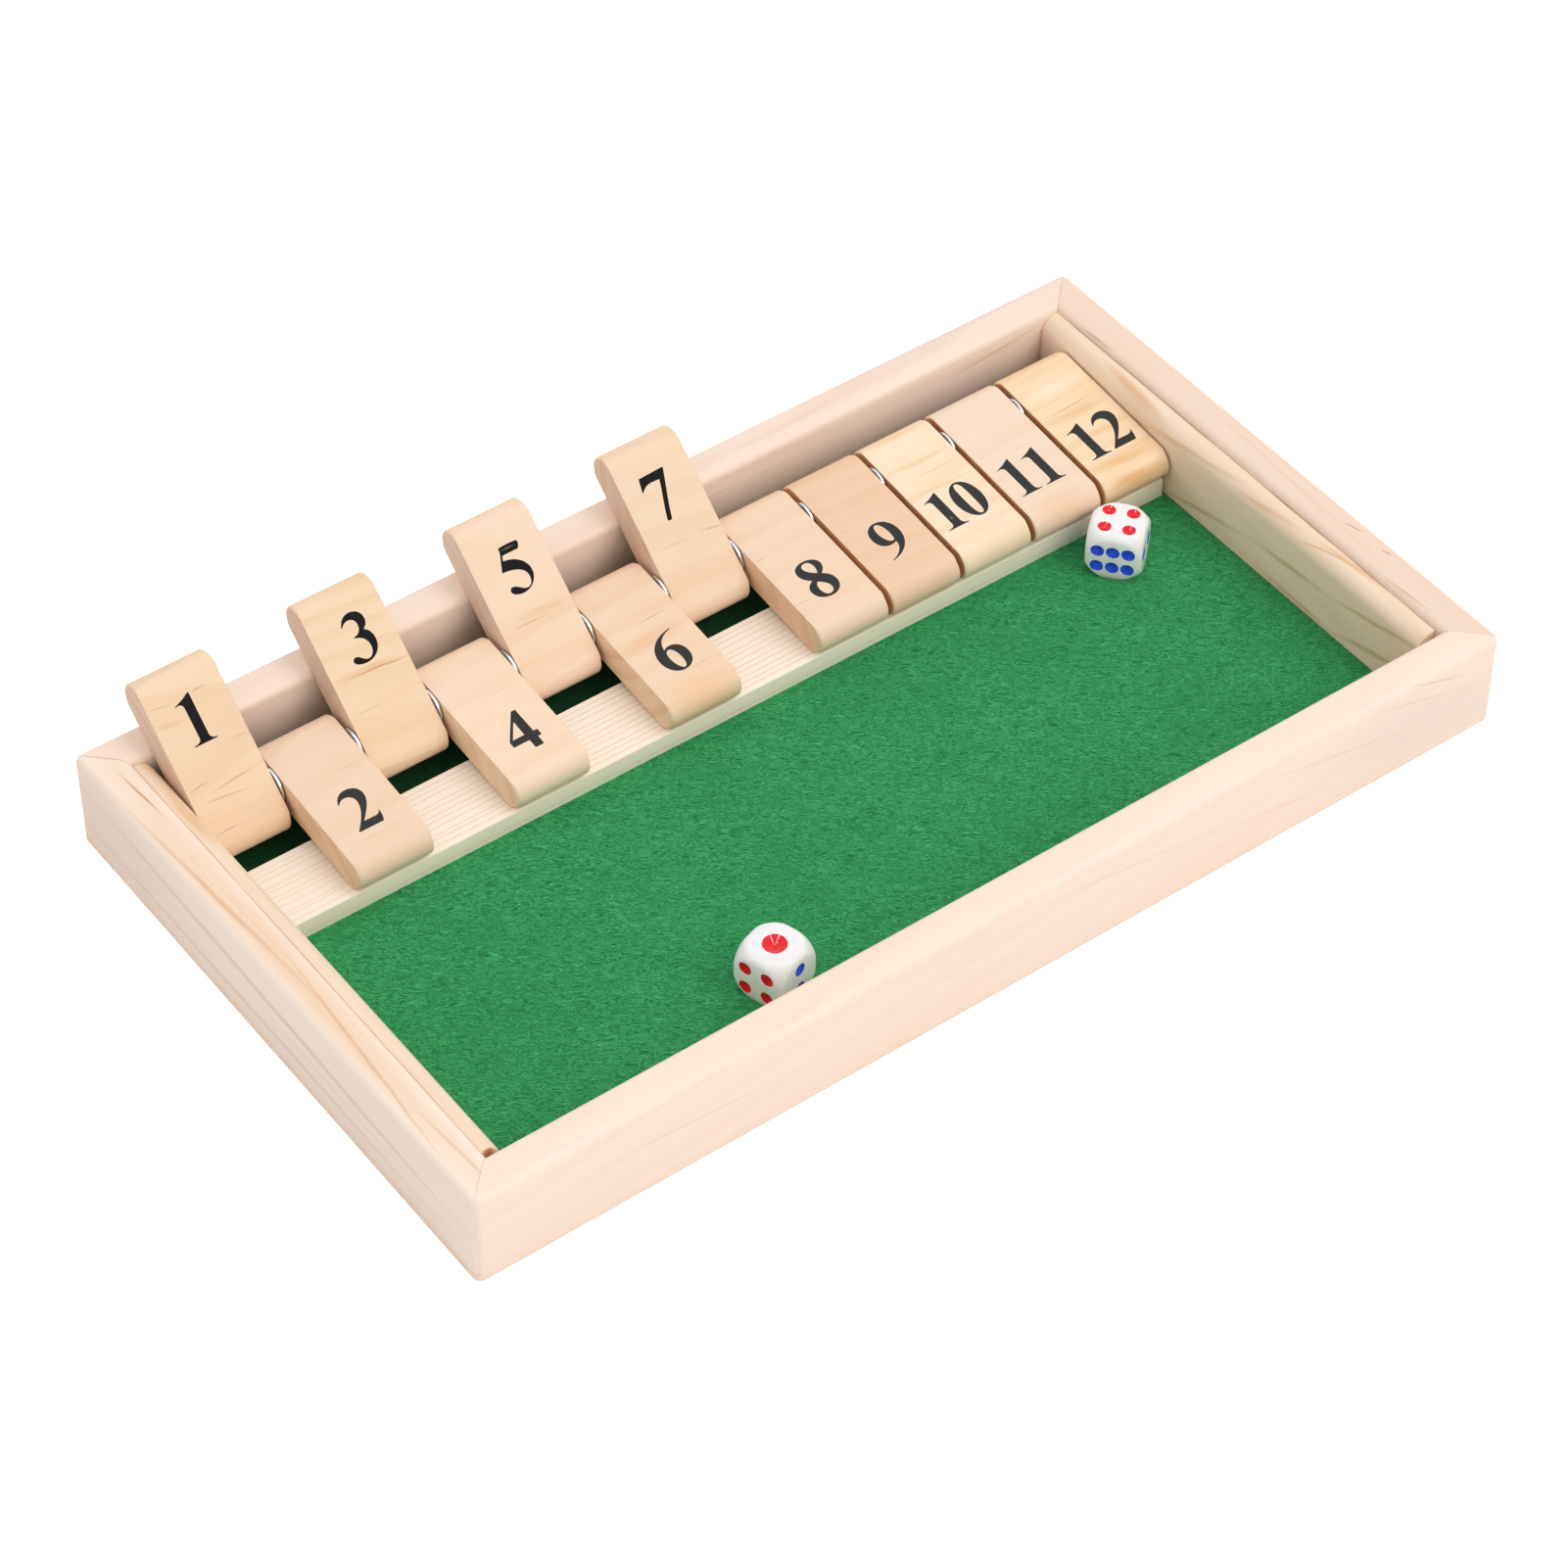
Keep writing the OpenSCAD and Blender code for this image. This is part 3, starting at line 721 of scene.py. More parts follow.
# For each tile: its pale wood, its darker wood, heart of the tree, ring pitch, ring strength,
# mottle strength, and its marks as (x, distance along the tile, half length, half width, lean,
# strength, shade)
tile_looks = {
    1: ((244, 213, 181), (220, 168, 114), (0, -20, 70), 4.5, 0.3, 0.3, [
        (4.5, 33.4, 3.2, 0.22, -2, 0.75, BROWN), (-8, 33.0, 5, 0.25, 2, 0.35, BROWN),
        (-8, 27.5, 7, 1.3, 3, 0.35, TAN), (9, 16.8, 4, 0.25, 3, 0.5, BROWN),
        (-8, 8.6, 5, 0.25, -4, 0.55, BROWN), (2, 6.2, 10, 0.35, -6, 0.5, BROWN),
        (-2, 3.0, 10, 0.5, 6, 0.35, BROWN), (-6, -5.4, 6, 0.25, -4, 0.5, BROWN)]),
    2: ((243, 213, 186), (222, 175, 136), (0, 30, -90), 7.0, 0.16, 0.15, [
        (5, 8.8, 6, 0.45, -1, 0.3, TAN), (-4.2, 1.3, 0.3, 0.3, 0, 0.5, GREY),
        (0, 33.6, 12, 0.6, 2, 0.25, TAN)]),
    3: ((245, 214, 181), (221, 168, 112), (0, 10, 60), 3.2, 0.3, 0.35, [
        (2, 16.3, 14, 0.5, 3, 0.8, (206, 138, 74)), (0, 17.2, 14, 1.3, 3, 0.45, TAN),
        (-6, 6.8, 7, 0.25, 2, 0.3, BROWN), (6, 24, 7, 0.4, -4, 0.25, TAN)]),
    4: ((248, 219, 192), (229, 182, 144), (0, 60, -50), 8.0, 0.14, 0.15, [
        (4, 9.0, 8, 0.5, -2, 0.22, TAN)]),
    5: ((247, 217, 189), (224, 176, 126), (0, -30, 60), 5.0, 0.22, 0.25, [
        (-3, 8.6, 8, 0.5, 2, 0.45, (210, 156, 92)), (2, 10.4, 12, 1.6, 1, 0.3, TAN)]),
    6: ((245, 214, 186), (222, 170, 126), (0, 30, 50), 6.0, 0.2, 0.3, [
        (3, 9.7, 7, 0.2, 3, 0.6, GREY), (-2, 16.5, 14, 4.6, 3, 0.6, (238, 188, 144)),
        (5, 31.5, 8, 0.3, 2, 0.25, BROWN), (0, 41, 16, 9, 0, 0.8, (242, 198, 156))]),
    7: ((245, 215, 186), (223, 172, 122), (0, 20, -60), 6.0, 0.2, 0.25, [
        (-4, 10.2, 9, 0.5, 4, 0.3, TAN), (9, 10.0, 5, 0.5, 8, 0.35, BROWN)]),
    8: ((245, 215, 188), (224, 175, 139), (0, 90, -60), 7.0, 0.16, 0.2, [
        (-10, 9.6, 3, 0.3, 12, 0.45, GREY), (-9.5, 29.4, 4, 0.2, -1, 0.55, GREY)]),
    9: ((240, 205, 174), (218, 163, 119), (0, -80, 40), 6.0, 0.16, 0.2, [
        (-9, 14, 3, 0.3, 3, 0.3, BROWN), (8, 20.5, 5, 0.4, -12, 0.2, TAN)]),
    10: ((252, 228, 199), (232, 190, 132), (0, 14, -46), 4.2, 0.28, 0.2, [
        (0, -8.5, 16, 1.8, 0, 0.5, (240, 202, 146)), (0, 3.2, 16, 1.3, -1, 0.6, (238, 200, 142)),
        (2, 8.0, 12, 0.5, 1, 0.35, TAN), (0, 14.2, 16, 1.3, 0, 0.55, (240, 204, 146))]),
    11: ((246, 220, 198), (228, 184, 152), (0, 70, -70), 8.0, 0.14, 0.15, [
        (4, 14.6, 8, 0.5, 1, 0.25, TAN), (0, 41, 16, 9, 0, 0.9, (244, 204, 170))]),
    12: ((251, 222, 186), (230, 178, 116), (0, 30, -30), 4.6, 0.3, 0.3, [
        (0, -5.8, 16, 2.2, 1, 0.45, (240, 198, 144)), (0, 1, 16, 5, 1, 0.6, (254, 232, 206)),
        (0, 12.6, 16, 2.8, 2, 0.8, (238, 194, 146)), (-1, 9.6, 12, 0.25, 4, 0.7, (190, 140, 86)),
        (0, 22.3, 16, 1.6, 1, 0.55, (238, 196, 144)), (0, 35.4, 16, 2.8, 1, 0.7, (236, 186, 126)),
        (0, 42, 16, 2.4, 0, 0.7, (230, 170, 102))]),
}


# End grain of the tiles whose sawn side shows; the others show it only in the narrow gaps,
# where their end grain is painted darker still, as painted shade of the gaps
END_SHADES = {1: (225, 197, 178), 2: (238, 206, 176), 3: (225, 195, 175), 4: (246, 216, 186),
              5: (231, 205, 186), 6: (246, 212, 180), 7: (230, 199, 176), 8: (234, 196, 164)}
GAP_END_GRAIN_AND_PAINTED_SHADE = (196, 140, 98)


def tile_wood(number):
    """Wood of one tile. Marks lie on the face that shows at rest, and run through the tile."""
    pale, dark, heart, pitch, rings, mottle, marks = tile_looks[number]
    placed = [((x, -u, 0), (long, wide, mark_through), (0, 0, lean), strength, shade)
              for x, u, long, wide, lean, strength, shade in marks]
    return wood(f"tile {number} wood", tile_origin(number), (tile_turn(number), 0, 0), pale, dark,
                heart=heart, slope=0.04, pitch=pitch, wander=1.6, ring_strength=rings,
                mottle_strength=mottle, fibre_strength=0.16, warm=(240, 190, 140), marks=placed,
                cut_ends=(tile_wide / 2, END_SHADES.get(number, GAP_END_GRAIN_AND_PAINTED_SHADE)))


tile_form = tile_rings()
for number in range(1, TILE_COUNT + 1):
    body = f"tile_{number:02d}"
    tile = lofted(body + "_piece", on_tile(number, tile_form), closed=True)
    finish_piece(tile, tile_wood(number), body, "tile_wood", body)


# NUMERALS
# The numbers are printed in black on both broad faces of each tile, so that one can be read
# when the tile is raised and the other when it lies down. The ink is worn in small specks.

# A numeral is drawn in millimetres on a face 24.6 wide, its foot at 0: a path is a first point,
# then a point for each line or two guides and a point for each curve.
NUMERALS = {
    "0": [[(15.7, 14.65), (18.6, 14.65, 20.35, 11.3, 20.35, 7.4), (20.35, 3.4, 18.5, 0.05, 15.8, 0.05),
         (13, 0.05, 11.1, 3.5, 11.1, 7.4), (11.1, 11.4, 13, 14.65, 15.7, 14.65)],
        [(15.45, 13.95), (16.9, 13.95, 17.1, 12, 17.1, 8), (17.1, 3, 17.2, 0.8, 15.9, 0.8),
         (14.4, 0.8, 14.3, 4, 14.3, 8), (14.3, 11.8, 14.3, 13.95, 15.45, 13.95)]],
    "1": [[(8.4, 12.3), (9.6, 12.95, 10.6, 13.1, 11.6, 13.6), (12.4, 14, 13.2, 14.5, 13.85, 14.75),
         (13.98, 14.7), (13.95, 2), (14, 0.9, 14.6, 0.45, 15.95, 0.35), (15.95, 0.05), (8.65, 0.05),
         (8.65, 0.35), (10.3, 0.45, 10.95, 0.9, 11, 2), (10.95, 10.8),
         (10.95, 12, 10.3, 12.35, 9.6, 12.35), (9.2, 12.35, 8.8, 12.25, 8.5, 12.1)]],
    "2": [[(8.1, 11.15), (8.6, 13.4, 10.3, 15, 12.5, 15), (15, 15, 16.35, 13.4, 16.35, 11.4),
         (16.35, 8.6, 13.9, 5.9, 11.15, 2.9), (14.6, 2.85), (15.7, 2.85, 16.3, 3.2, 16.6, 4.25),
         (16.75, 4.15), (16.7, 2.6, 16.35, 1.2, 15.85, 0.15), (8.1, 0.15), (7.95, 0.6),
         (11.2, 4, 13.3, 7.2, 13.3, 10.1), (13.3, 11.5, 12.2, 12.6, 10.8, 12.6),
         (9.7, 12.6, 8.8, 11.9, 8.3, 11.1)]],
    "3": [[(9.6, 11.7), (10.2, 13.6, 11.7, 14.9, 13.5, 14.9), (15.8, 14.9, 17.2, 13.5, 17.2, 11.6),
         (17.2, 10.3, 16.5, 9.5, 15.55, 8.95), (16.9, 8.2, 17.65, 7, 17.65, 5.3),
         (17.65, 2.1, 15.2, 0.1, 12.2, 0.1), (10.2, 0.1, 8.55, 0.8, 8.55, 1.75),
         (8.55, 2.35, 9, 2.75, 9.6, 2.75), (11, 2.75, 11.6, 0.95, 13.1, 0.95),
         (14.6, 0.95, 15.4, 2.3, 15.4, 3.9), (15.4, 5.9, 13.9, 7.4, 11.75, 7.6), (11.9, 7.95),
         (13.7, 8.2, 14.5, 9.2, 14.5, 10.8), (14.5, 12.2, 13.6, 12.95, 12.3, 12.95),
         (11.2, 12.95, 10.4, 12.4, 9.9, 11.6)]],
    "4": [[(14.3, 14.3), (14.4, 14.5, 14.6, 14.6, 14.8, 14.6), (15.6, 14.6),
         (15.8, 14.6, 15.9, 14.5, 15.9, 14.2), (15.95, 5.4), (16.9, 5.4),
         (17.15, 5.35, 17.25, 5.2, 17.25, 5), (17.2, 3.4), (17.2, 3.2, 17.1, 3.1, 16.9, 3.1),
         (15.95, 3.1), (15.95, 0.3), (15.95, 0.1, 15.85, 0.05, 15.7, 0.05), (13.4, 0.05),
         (13.2, 0.05, 13.1, 0.15, 13.1, 0.35), (13.1, 3.15), (8.1, 3.15),
         (7.95, 3.15, 7.88, 3.25, 7.88, 3.4), (7.85, 5.2), (7.95, 5.4)],
        [(13.05, 10.85), (12.95, 5.5), (9.1, 5.5), (12.75, 10.75)]],
    "5": [[(10.25, 14.5), (12.2, 14.8, 14.4, 14.75, 16.3, 14.6), (16.8, 14.4, 16.65, 13.2, 16, 12.4),
         (15.8, 12.2, 15.6, 12.2, 15.4, 12.2), (10.6, 12.15), (10.2, 11.7, 10.05, 11.1, 10, 10.65),
         (13.8, 10.5, 16.95, 8, 16.95, 5.1), (16.95, 2.2, 14.4, 0.1, 11.6, 0.1),
         (9.6, 0.1, 8.05, 0.9, 8.05, 1.8), (8.05, 2.5, 8.5, 2.9, 9.2, 2.9), (10.6, 2.9, 11.8, 1, 13.3, 1),
         (14.7, 1, 15.4, 2.3, 15.4, 3.7), (15.4, 6.2, 12.4, 7.6, 8.05, 7.65), (10.1, 13)]],
    "6": [[(16.9, 15.1), (11.4, 14.5, 7.15, 11.2, 7.15, 5.9), (7.15, 2.4, 9.3, 0.05, 11.9, 0.05),
         (14.8, 0.05, 16.8, 2.4, 16.8, 5.2), (16.8, 8, 15.2, 9.7, 13.1, 9.7),
         (12.2, 9.7, 11.5, 9.4, 10.85, 9), (11.2, 11.9, 13.2, 14.1, 16.9, 14.8)],
        [(11.9, 8.5), (13.1, 8.5, 13.75, 6.3, 13.75, 4.3), (13.75, 2.3, 13.3, 0.85, 12.35, 0.85),
         (11.3, 0.85, 10.4, 3.2, 10.4, 5.6), (10.4, 7.3, 10.9, 8.5, 11.9, 8.5)]],
    "7": [[(7.85, 14.6), (10.5, 14.75, 13.5, 14.85, 16.3, 14.95), (16.45, 14.7),
         (15.4, 11, 13.7, 7, 12.05, 0.6), (11.9, 0.15), (10.6, 0.15), (10.5, 0.5),
         (11.5, 5, 12.9, 8.3, 13.8, 12.1), (11.9, 12.2, 10.6, 12.3, 9.5, 12),
         (8.6, 11.7, 8, 11.1, 7.3, 10.45), (7.05, 10.5)]],
    "8": [[(12.2, 14.95), (14.8, 14.95, 16.45, 13.6, 16.45, 12), (16.45, 10.5, 15.4, 9.3, 14.35, 8.45),
         (15.9, 7.5, 16.85, 6.2, 16.85, 4.5), (16.85, 1.9, 14.8, 0, 12.2, 0),
         (9.3, 0, 7.35, 1.7, 7.35, 4), (7.35, 5.6, 8.6, 6.8, 10.2, 7.5), (8.8, 8.4, 7.7, 9.8, 7.7, 11.5),
         (7.7, 13.6, 9.6, 14.95, 12.2, 14.95)],
        [(12.2, 14.15), (13.4, 14.15, 14, 13.2, 14, 11.7), (14, 10.7, 13.7, 9.9, 13.25, 9.2),
         (11.7, 10.2, 10.4, 11.4, 10.4, 12.7), (10.4, 13.6, 11.1, 14.15, 12.2, 14.15)],
        [(11.3, 6.5), (12.7, 5.6, 13.9, 4.3, 13.9, 3), (13.9, 1.7, 13.1, 0.9, 12, 0.9),
         (10.8, 0.9, 10.15, 2.1, 10.15, 3.8), (10.15, 4.9, 10.5, 5.8, 11.3, 6.5)]],
    "9": [[(12.3, 15), (15.5, 15, 17.25, 12.3, 17.25, 9.2), (17.25, 4.6, 13.6, 0.9, 8.4, 0.25),
         (8.4, 0.5), (11.6, 1.2, 13.7, 3.6, 13.8, 6), (13.1, 5.7, 12.4, 5.6, 11.6, 5.6),
         (9.4, 5.6, 7.85, 7.4, 7.85, 10.2), (7.85, 13, 9.8, 15, 12.3, 15)],
        [(12.1, 14.25), (13.3, 14.25, 14.1, 12.2, 14.1, 9.6), (14.1, 7.6, 13.9, 6.7, 13.1, 6.7),
         (11.8, 6.7, 10.8, 8.9, 10.8, 11.2), (10.8, 13, 11.2, 14.25, 12.1, 14.25)]],
}
# Digits of each number with their shift across the face, and the distance from the rod to the
# numeral's foot on the face that shows at rest
PRINTS = {
    1: ([("1", -0.3)], 18.9), 2: ([("2", 0)], 30.8), 3: ([("3", 0.2)], 19.0), 4: ([("4", 0)], 32.0),
    5: ([("5", 0.4)], 17.1), 6: ([("6", 0.6)], 31.4), 7: ([("7", -0.7)], 17.2), 8: ([("8", 0)], 31.6),
    9: ([("9", 0.1)], 30.9), 10: ([("1", -5.5), ("0", 0)], 30.4),
    11: ([("1", -5.22), ("1", 3.75)], 31.4), 12: ([("1", -4.9), ("2", 4.4)], 31.2),
}
raised_foot = 18.3
lowered_foot = 30.9
ink_above = 0.02
ink_below = 0.03


def path_points(path, steps=9):
    """Points along a numeral's path. A curve is the cubic p0 (1-t)^3 + 3 p1 t (1-t)^2 +
    3 p2 t^2 (1-t) + p3 t^3."""
    t = np.linspace(0, 1, steps + 1)[1:, None]
    points = [np.array([path[0]], float)]
    for stroke in path[1:]:
        guides = np.array(stroke, float).reshape(-1, 2)
        if len(guides) == 1:
            points.append(guides)
        else:
            p0, (p1, p2, p3) = points[-1][-1], guides
            points.append(p0 * (1 - t) ** 3 + 3 * p1 * t * (1 - t) ** 2
                          + 3 * p2 * t ** 2 * (1 - t) + p3 * t ** 3)
    points = np.concatenate(points)
    return points[:-1] if np.allclose(points[0], points[-1]) else points


def numeral_piece(name, number, digits, foot, raised_face):
    """Thin film of ink: the filled outline just above the face, the same outline just inside
    the wood, and walls between."""
    side = -1 if raised_face else 1
    points, faces = [], []
    for digit, shift in digits:
        loops = [path_points(path) + (shift - tile_wide / 2, 0) for path in NUMERALS[digit]]
        flat = np.concatenate(loops)
        count = sum(map(len, points))
        triangles = tessellate_polygon([[Vector((x, y, 0)) for x, y in loop] for loop in loops])
        size = len(flat)
        faces += [[count + i for i in corners] for corners in triangles]
        faces += [[count + size + i for i in reversed(corners)] for corners in triangles]
        first = 0
        for loop in loops:
            here = np.arange(len(loop)) + first + count
            there = np.roll(here, -1)
            faces += np.stack([here, there, there + size, here + size], -1).tolist()
            first += len(loop)
        for level in (ink_above, -ink_below):
            height = np.full(size, side * (tile_thick / 2 + level))
            points.append(np.column_stack([flat[:, 0], side * flat[:, 1] - foot, height]))
    return seal(put_in_scene(name, on_tile(number, np.concatenate(points)), faces), crease=30)


# Share of specks in the ink of the tiles where it is worn, and worn places as (x, distance
# along the tile, half length, half width)
WORN_INK = {1: 0.12, 3: 0.09, 5: 0.09, 9: 0.07, 12: 0.07}
CHIPS = {5: [(1.0, 30.7, 3.2, 0.35)], 10: [(-5.5, 26.5, 0.6, 0.9)]}


def black_ink(number):
    """Black printing ink, worn through in small specks where fine noise passes a limit, and in
    places of its own."""
    material, tree, shader, place = new_material(f"tile {number} ink")
    own = own_axes(tree, place, tile_origin(number), (tile_turn(number), 0, 0))
    speck = scaled_noise(tree, own, (1.5, 1.5, 1.5), 3.0, 0.7)
    cloud = scaled_noise(tree, own, (0.16, 0.16, 0.16), 2.0)
    worn = sums(tree, "MULTIPLY_ADD", cloud, 0.3, speck)
    specks = WORN_INK.get(number, 0.04)
    worn = eased_step(tree, worn, 1.0 - specks, 1.06 - specks)
    for x, u, long, wide in CHIPS.get(number, ()):
        chip = mark_mask(tree, own, (x, -u, 0), (long, wide, mark_through))
        worn = sums(tree, "MULTIPLY_ADD", chip, speck, worn, clamp=True)
    colour = blend_colour(tree, worn, srgb(26, 24, 27), srgb(150, 134, 128))
    tree.links.new(colour, shader.inputs["Base Color"])
    tree.links.new(sums(tree, "MULTIPLY_ADD", speck, 0.3, 0.3), shader.inputs["Roughness"])
    shader.inputs["Specular IOR Level"].default_value = 0.05 if number in RAISED else 0.4
    return material


for number, (digits, foot) in PRINTS.items():
    body = f"tile_{number:02d}"
    is_raised = number in RAISED
    ink = black_ink(number)
    for face, is_raised_face in (("lowered", False), ("raised", True)):
        shown = is_raised == is_raised_face
        face_foot = foot if shown else (raised_foot if is_raised_face else lowered_foot)
        numeral = numeral_piece(f"{body}_{face}_number", number, digits, face_foot, is_raised_face)
        finish_piece(numeral, ink, body, "tile_wood")


# DICE
# Two moulded white plastic dice with edges and corners tumbled round. The pips are drilled as
# shallow cones; one and four are painted red and the others blue.
die_edge = 1.8
die_ball = 11.5
die_blend = 0.16
pip_radius = 2.05
pip_depth = 0.9
big_pip_radius = 3.55
big_pip_depth = 1.3
pip_step = 3.65
six_row = 2.95
six_step = 4.6
die_cells = 80
# Count on each face, the face's outward direction and its two directions across
DIE_FACES = [
    (4, (0, 0, 1), (1, 0, 0), (0, 1, 0)), (3, (0, 0, -1), (1, 0, 0), (0, -1, 0)),
    (6, (0, -1, 0), (1, 0, 0), (0, 0, 1)), (1, (0, 1, 0), (1, 0, 0), (0, 0, -1)),
    (2, (1, 0, 0), (0, 0, -1), (0, 1, 0)), (5, (-1, 0, 0), (0, 0, 1), (0, 1, 0)),
]
PIP_PLACES = {
    1: [(0, 0)], 2: [(0, -1), (0, 1)], 3: [(-1, -1), (0, 0), (1, 1)],
    4: [(-1, -1), (1, -1), (-1, 1), (1, 1)], 5: [(-1, -1), (1, -1), (0, 0), (-1, 1), (1, 1)],
}


def pips_of(count):
    """Centres, radius and depth of a face's pips."""
    if count == 6:
        places = [(col * six_step, row * six_row) for row in (-1, 1) for col in (-1, 0, 1)]
    else:
        places = [(a * pip_step, b * pip_step) for a, b in PIP_PLACES[count]]
    big = count == 1
    return places, big_pip_radius if big else pip_radius, big_pip_depth if big else pip_depth


def die_skin(name, half):
    """Six grids over a cube. A point p goes to c + edge * (p - c) / |p - c|, c being p held
    inside half - edge. Its distance r from the centre then shrinks by b * ln(1 + e^((r - ball)
    / b)), so that the ball trims the corners with a soft edge. Points near a pip's rim move
    onto it, and inside a pip the face sinks by depth * (1 - distance / radius)."""
    line = np.linspace(-half, half, die_cells + 1)
    a, b = np.meshgrid(line, line, indexing="ij")
    step = line[1] - line[0]
    points, shades = [], []
    for count, out, right, up in DIE_FACES:
        places, radius, depth = pips_of(count)
        u, v = a.copy(), b.copy()
        for x, y in places:
            distance = np.hypot(u - x, v - y)
            pull = np.where(np.abs(distance - radius) < step / 2, radius / np.maximum(distance, 1e-9), 1)
            u, v = x + (u - x) * pull, y + (v - y) * pull
        flat = np.stack([u, v, np.full_like(u, half)], -1)
        core = np.clip(flat, die_edge - half, half - die_edge)
        away = flat - core
        form = core + away * die_edge / np.linalg.norm(away, axis=-1, keepdims=True)
        length = np.linalg.norm(form, axis=-1, keepdims=True)
        trim = die_blend * np.logaddexp(0, (length - die_ball) / die_blend)
        form = form * (1 - trim / length)
        painted = np.zeros((die_cells, die_cells), bool)
        centre_u = (u[1:, 1:] + u[:-1, :-1]) / 2
        centre_v = (v[1:, 1:] + v[:-1, :-1]) / 2
        for x, y in places:
            distance = np.hypot(u - x, v - y)
            form[..., 2] -= depth * np.clip(1 - distance / radius, 0, None)
            painted |= np.hypot(centre_u - x, centre_v - y) < radius
        axes = np.array([right, up, out], float)
        points.append((form @ axes).reshape(-1, 3))
        shades.append(np.where(painted, 1 if count in (1, 4) else 2, 0).ravel())
    patch = grid_faces(die_cells + 1, die_cells + 1, wrap_columns=False)
    faces = patch[None] + (np.arange(6) * (die_cells + 1) ** 2)[:, None, None]
    return np.concatenate(points), faces.reshape(-1, 4), np.concatenate(shades)


def glossy(name, shade, rough, mottled, specular=0.5):
    """Moulded plastic or paint with a gloss; slow noise changes its shade a little."""
    material, tree, shader, place = new_material(name)
    cloud = scaled_noise(tree, place, (400, 400, 400), 3.0)
    colour = blend_colour(tree, eased_step(tree, cloud, 0.35, 0.7), srgb(*shade), srgb(*mottled))
    tree.links.new(colour, shader.inputs["Base Color"])
    tree.links.new(sums(tree, "MULTIPLY_ADD", cloud, 0.06, rough), shader.inputs["Roughness"])
    shader.inputs["Specular IOR Level"].default_value = specular
    return material


# The plastic lets some light through, so that its shaded sides stay pale
die_plastic = glossy("white plastic", (255, 245, 251), 0.22, (251, 240, 247))
die_light_through = die_plastic.node_tree.nodes["Principled BSDF"].inputs
die_light_through["Subsurface Weight"].default_value = 1.0
die_light_through["Subsurface Radius"].default_value = (1.0, 1.0, 1.0)
die_light_through["Subsurface Scale"].default_value = 0.007
red_paint = glossy("red paint", (238, 18, 36), 0.04, (226, 12, 30), 0.35)
blue_paint = glossy("blue paint", (56, 90, 246), 0.04, (40, 66, 226), 0.4)


def die_piece(name, turns):
    """A die turned by its rest turns and set on the felt."""
    low, high = (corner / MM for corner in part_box(name))
    half = (high.z - low.z) / 2
    points, faces, shades = die_skin(name, half)
    for axis, degrees in turns:
        c, s = math.cos(math.radians(degrees)), math.sin(math.radians(degrees))
        first, second = {"x": (1, 2), "z": (0, 1)}[axis]
        moved = points.copy()
        moved[:, first] = points[:, first] * c - points[:, second] * s
        moved[:, second] = points[:, first] * s + points[:, second] * c
        points = moved
    points = points + ((low.x + high.x) / 2, (low.y + high.y) / 2, (low.z + high.z) / 2)
    die = put_in_scene(name + "_piece", points, faces.tolist())
    for material in (die_plastic, red_paint, blue_paint):
        die.data.materials.append(material)
    die.data.polygons.foreach_set("material_index", shades)
    seal(die, crease=16)
    return finish_piece(die, None, name, "die", name)


die_piece("die_1", [("x", 90), ("z", -90), ("z", 17)])
die_piece("die_2", [("z", -50)])


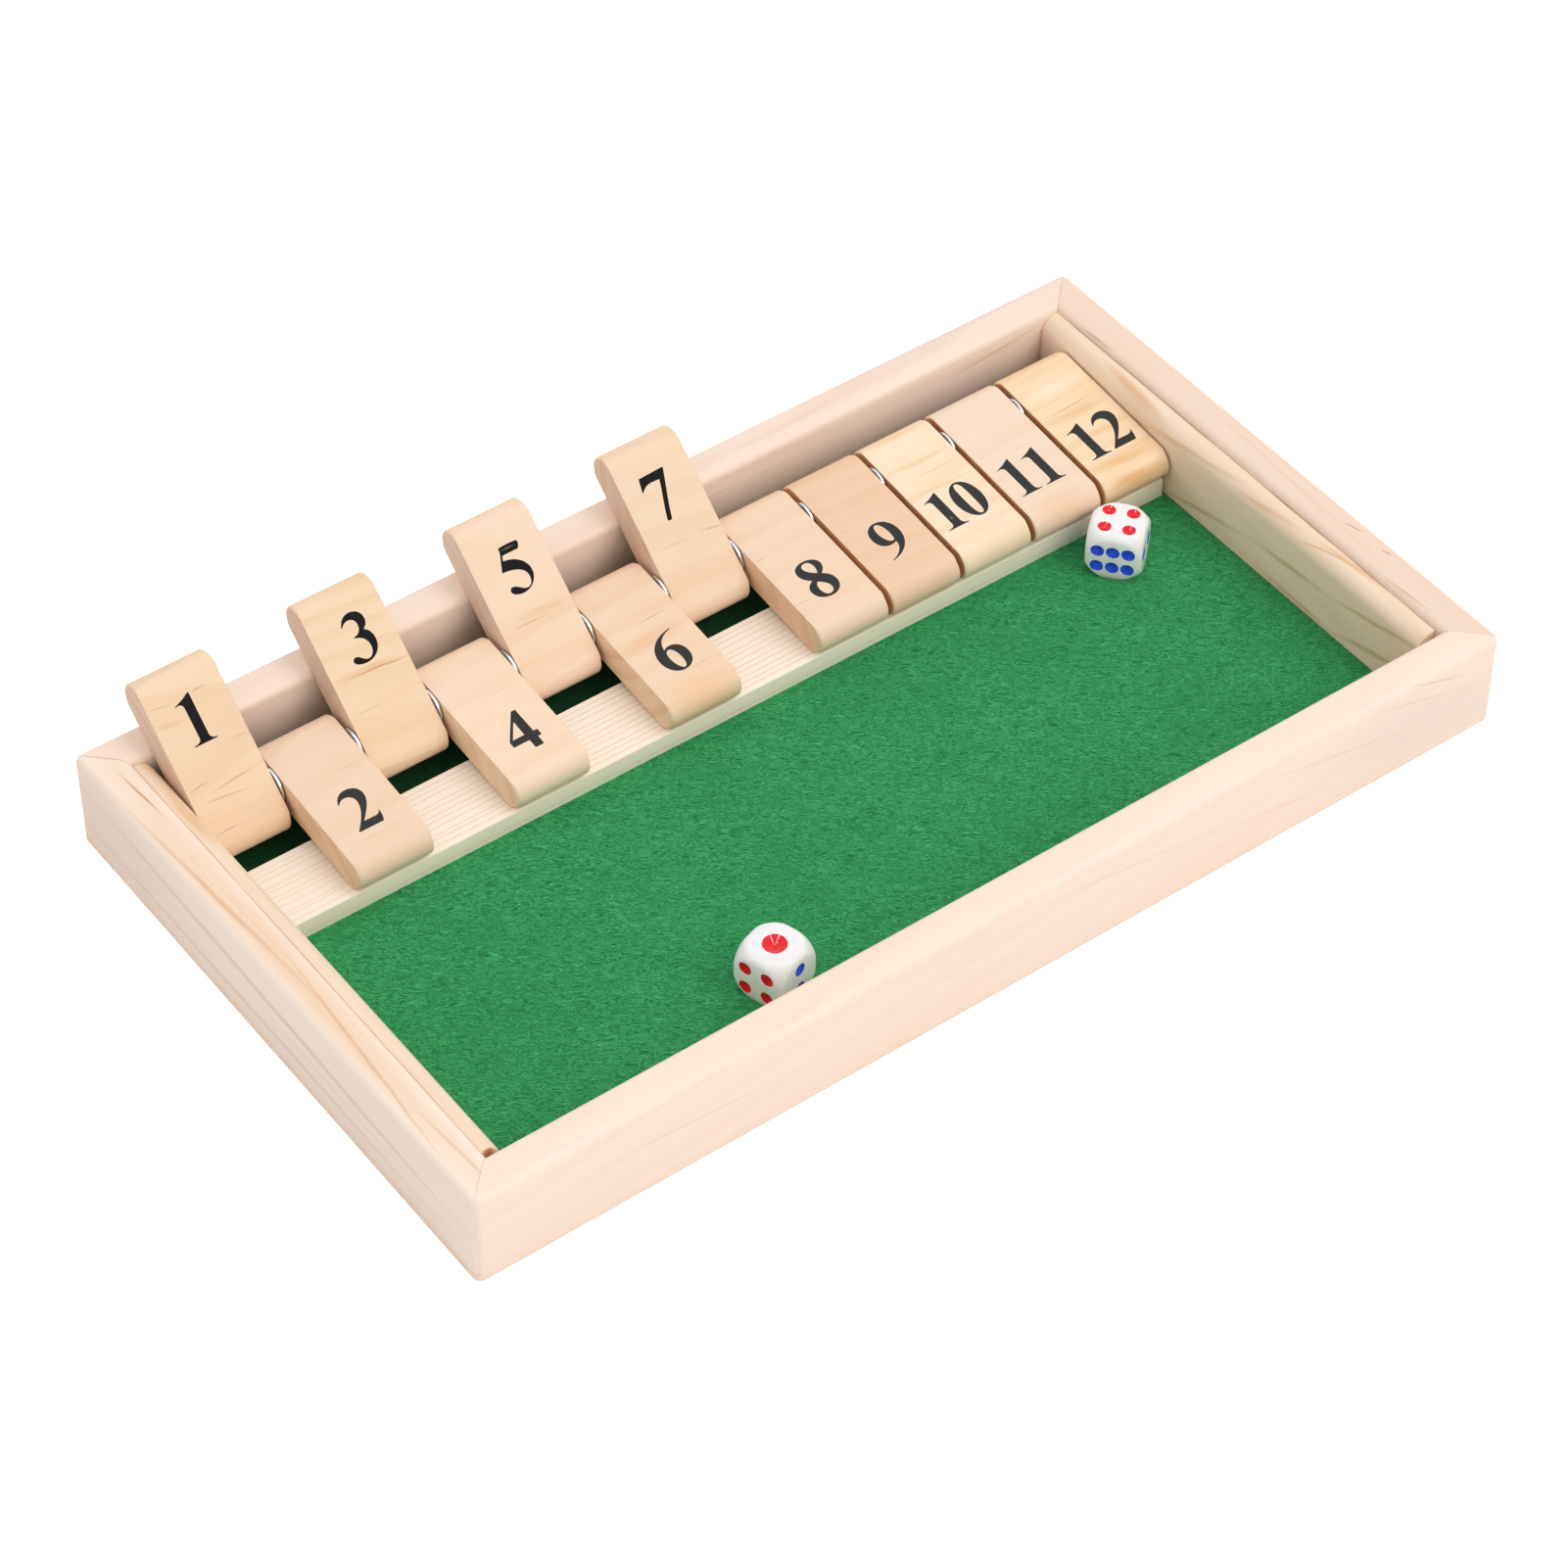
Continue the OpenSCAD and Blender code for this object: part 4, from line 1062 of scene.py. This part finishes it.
# STAGE
# A plain white sheet under the box, a soft white dome around it, one large soft lamp high in
# front on the right, and two small weak ones overhead for the painted slopes of the pips.
def white_stage():
    """Floor that takes shadows; seen directly it is lifted so that it reads as white paper."""
    material = bpy.data.materials.new("white paper")
    material.use_nodes = True
    tree = material.node_tree
    tree.nodes.clear()
    paper = add(tree, "BsdfDiffuse", {"Color": (0.9, 0.9, 0.9, 1)})
    glow = add(tree, "Emission", {"Color": (1, 1, 1, 1), "Strength": 0.6})
    both = add(tree, "AddShader", {0: paper.outputs[0], 1: glow.outputs[0]})
    seen = add(tree, "LightPath").outputs["Is Camera Ray"]
    mixed = add(tree, "MixShader", {0: seen, 1: paper.outputs[0], 2: both.outputs[0]})
    end = add(tree, "OutputMaterial")
    tree.links.new(mixed.outputs[0], end.inputs["Surface"])
    return material


floor_half = 6000
floor_level = -0.05
floor_points = [(x * floor_half, y * floor_half, floor_level)
                for x, y in ((-1, -1), (1, -1), (1, 1), (-1, 1))]
floor = put_in_scene("floor", floor_points, [[0, 1, 2, 3]])
floor.data.materials.append(white_stage())

world = bpy.data.worlds.new("white dome")
bpy.context.scene.world = world
world.use_nodes = True
dome = world.node_tree
dome.nodes.clear()
dome_light = add(dome, "Background", {"Color": (1, 1, 1, 1), "Strength": 0.78})
dome_seen = add(dome, "Background", {"Color": (1, 1, 1, 1), "Strength": 1.0})
dome_paths = add(dome, "LightPath")
dome_rays = sums(dome, "MAXIMUM", dome_paths.outputs["Is Camera Ray"], dome_paths.outputs["Is Glossy Ray"])
dome_mix = add(dome, "MixShader", {0: dome_rays, 1: dome_light.outputs[0], 2: dome_seen.outputs[0]})
dome_end = add(dome, "OutputWorld")
dome.links.new(dome_mix.outputs[0], dome_end.inputs["Surface"])

for name, energy, wide, toward in (("soft lamp", 0.80, 35, (0.12, -0.20, 0.26)),
                                   ("right glint", 0.12, 5, (0.237, -0.063, 0.970)),
                                   ("left glint", 0.12, 5, (-0.128, 0.204, 0.971))):
    lamp_data = bpy.data.lights.new(name, "SUN")
    lamp_data.energy = energy
    lamp_data.angle = math.radians(wide)
    lamp = bpy.data.objects.new(name, lamp_data)
    bpy.context.scene.collection.objects.link(lamp)
    lamp.rotation_euler = Vector(toward).to_track_quat("Z", "Y").to_euler()

# The camera was fitted to the tray's corners in the photo
scene = bpy.context.scene
camera_data = bpy.data.cameras.new("camera")
camera_data.lens = 113.8262
camera_data.sensor_width = 36
camera_data.clip_end = 50
camera = bpy.data.objects.new("camera", camera_data)
scene.collection.objects.link(camera)
camera.location = (-0.588297, -0.786217, 1.007510)
camera.rotation_euler = (math.radians(44.1694), math.radians(-0.2022), math.radians(-36.4134))
scene.camera = camera
scene.view_settings.view_transform = "Standard"
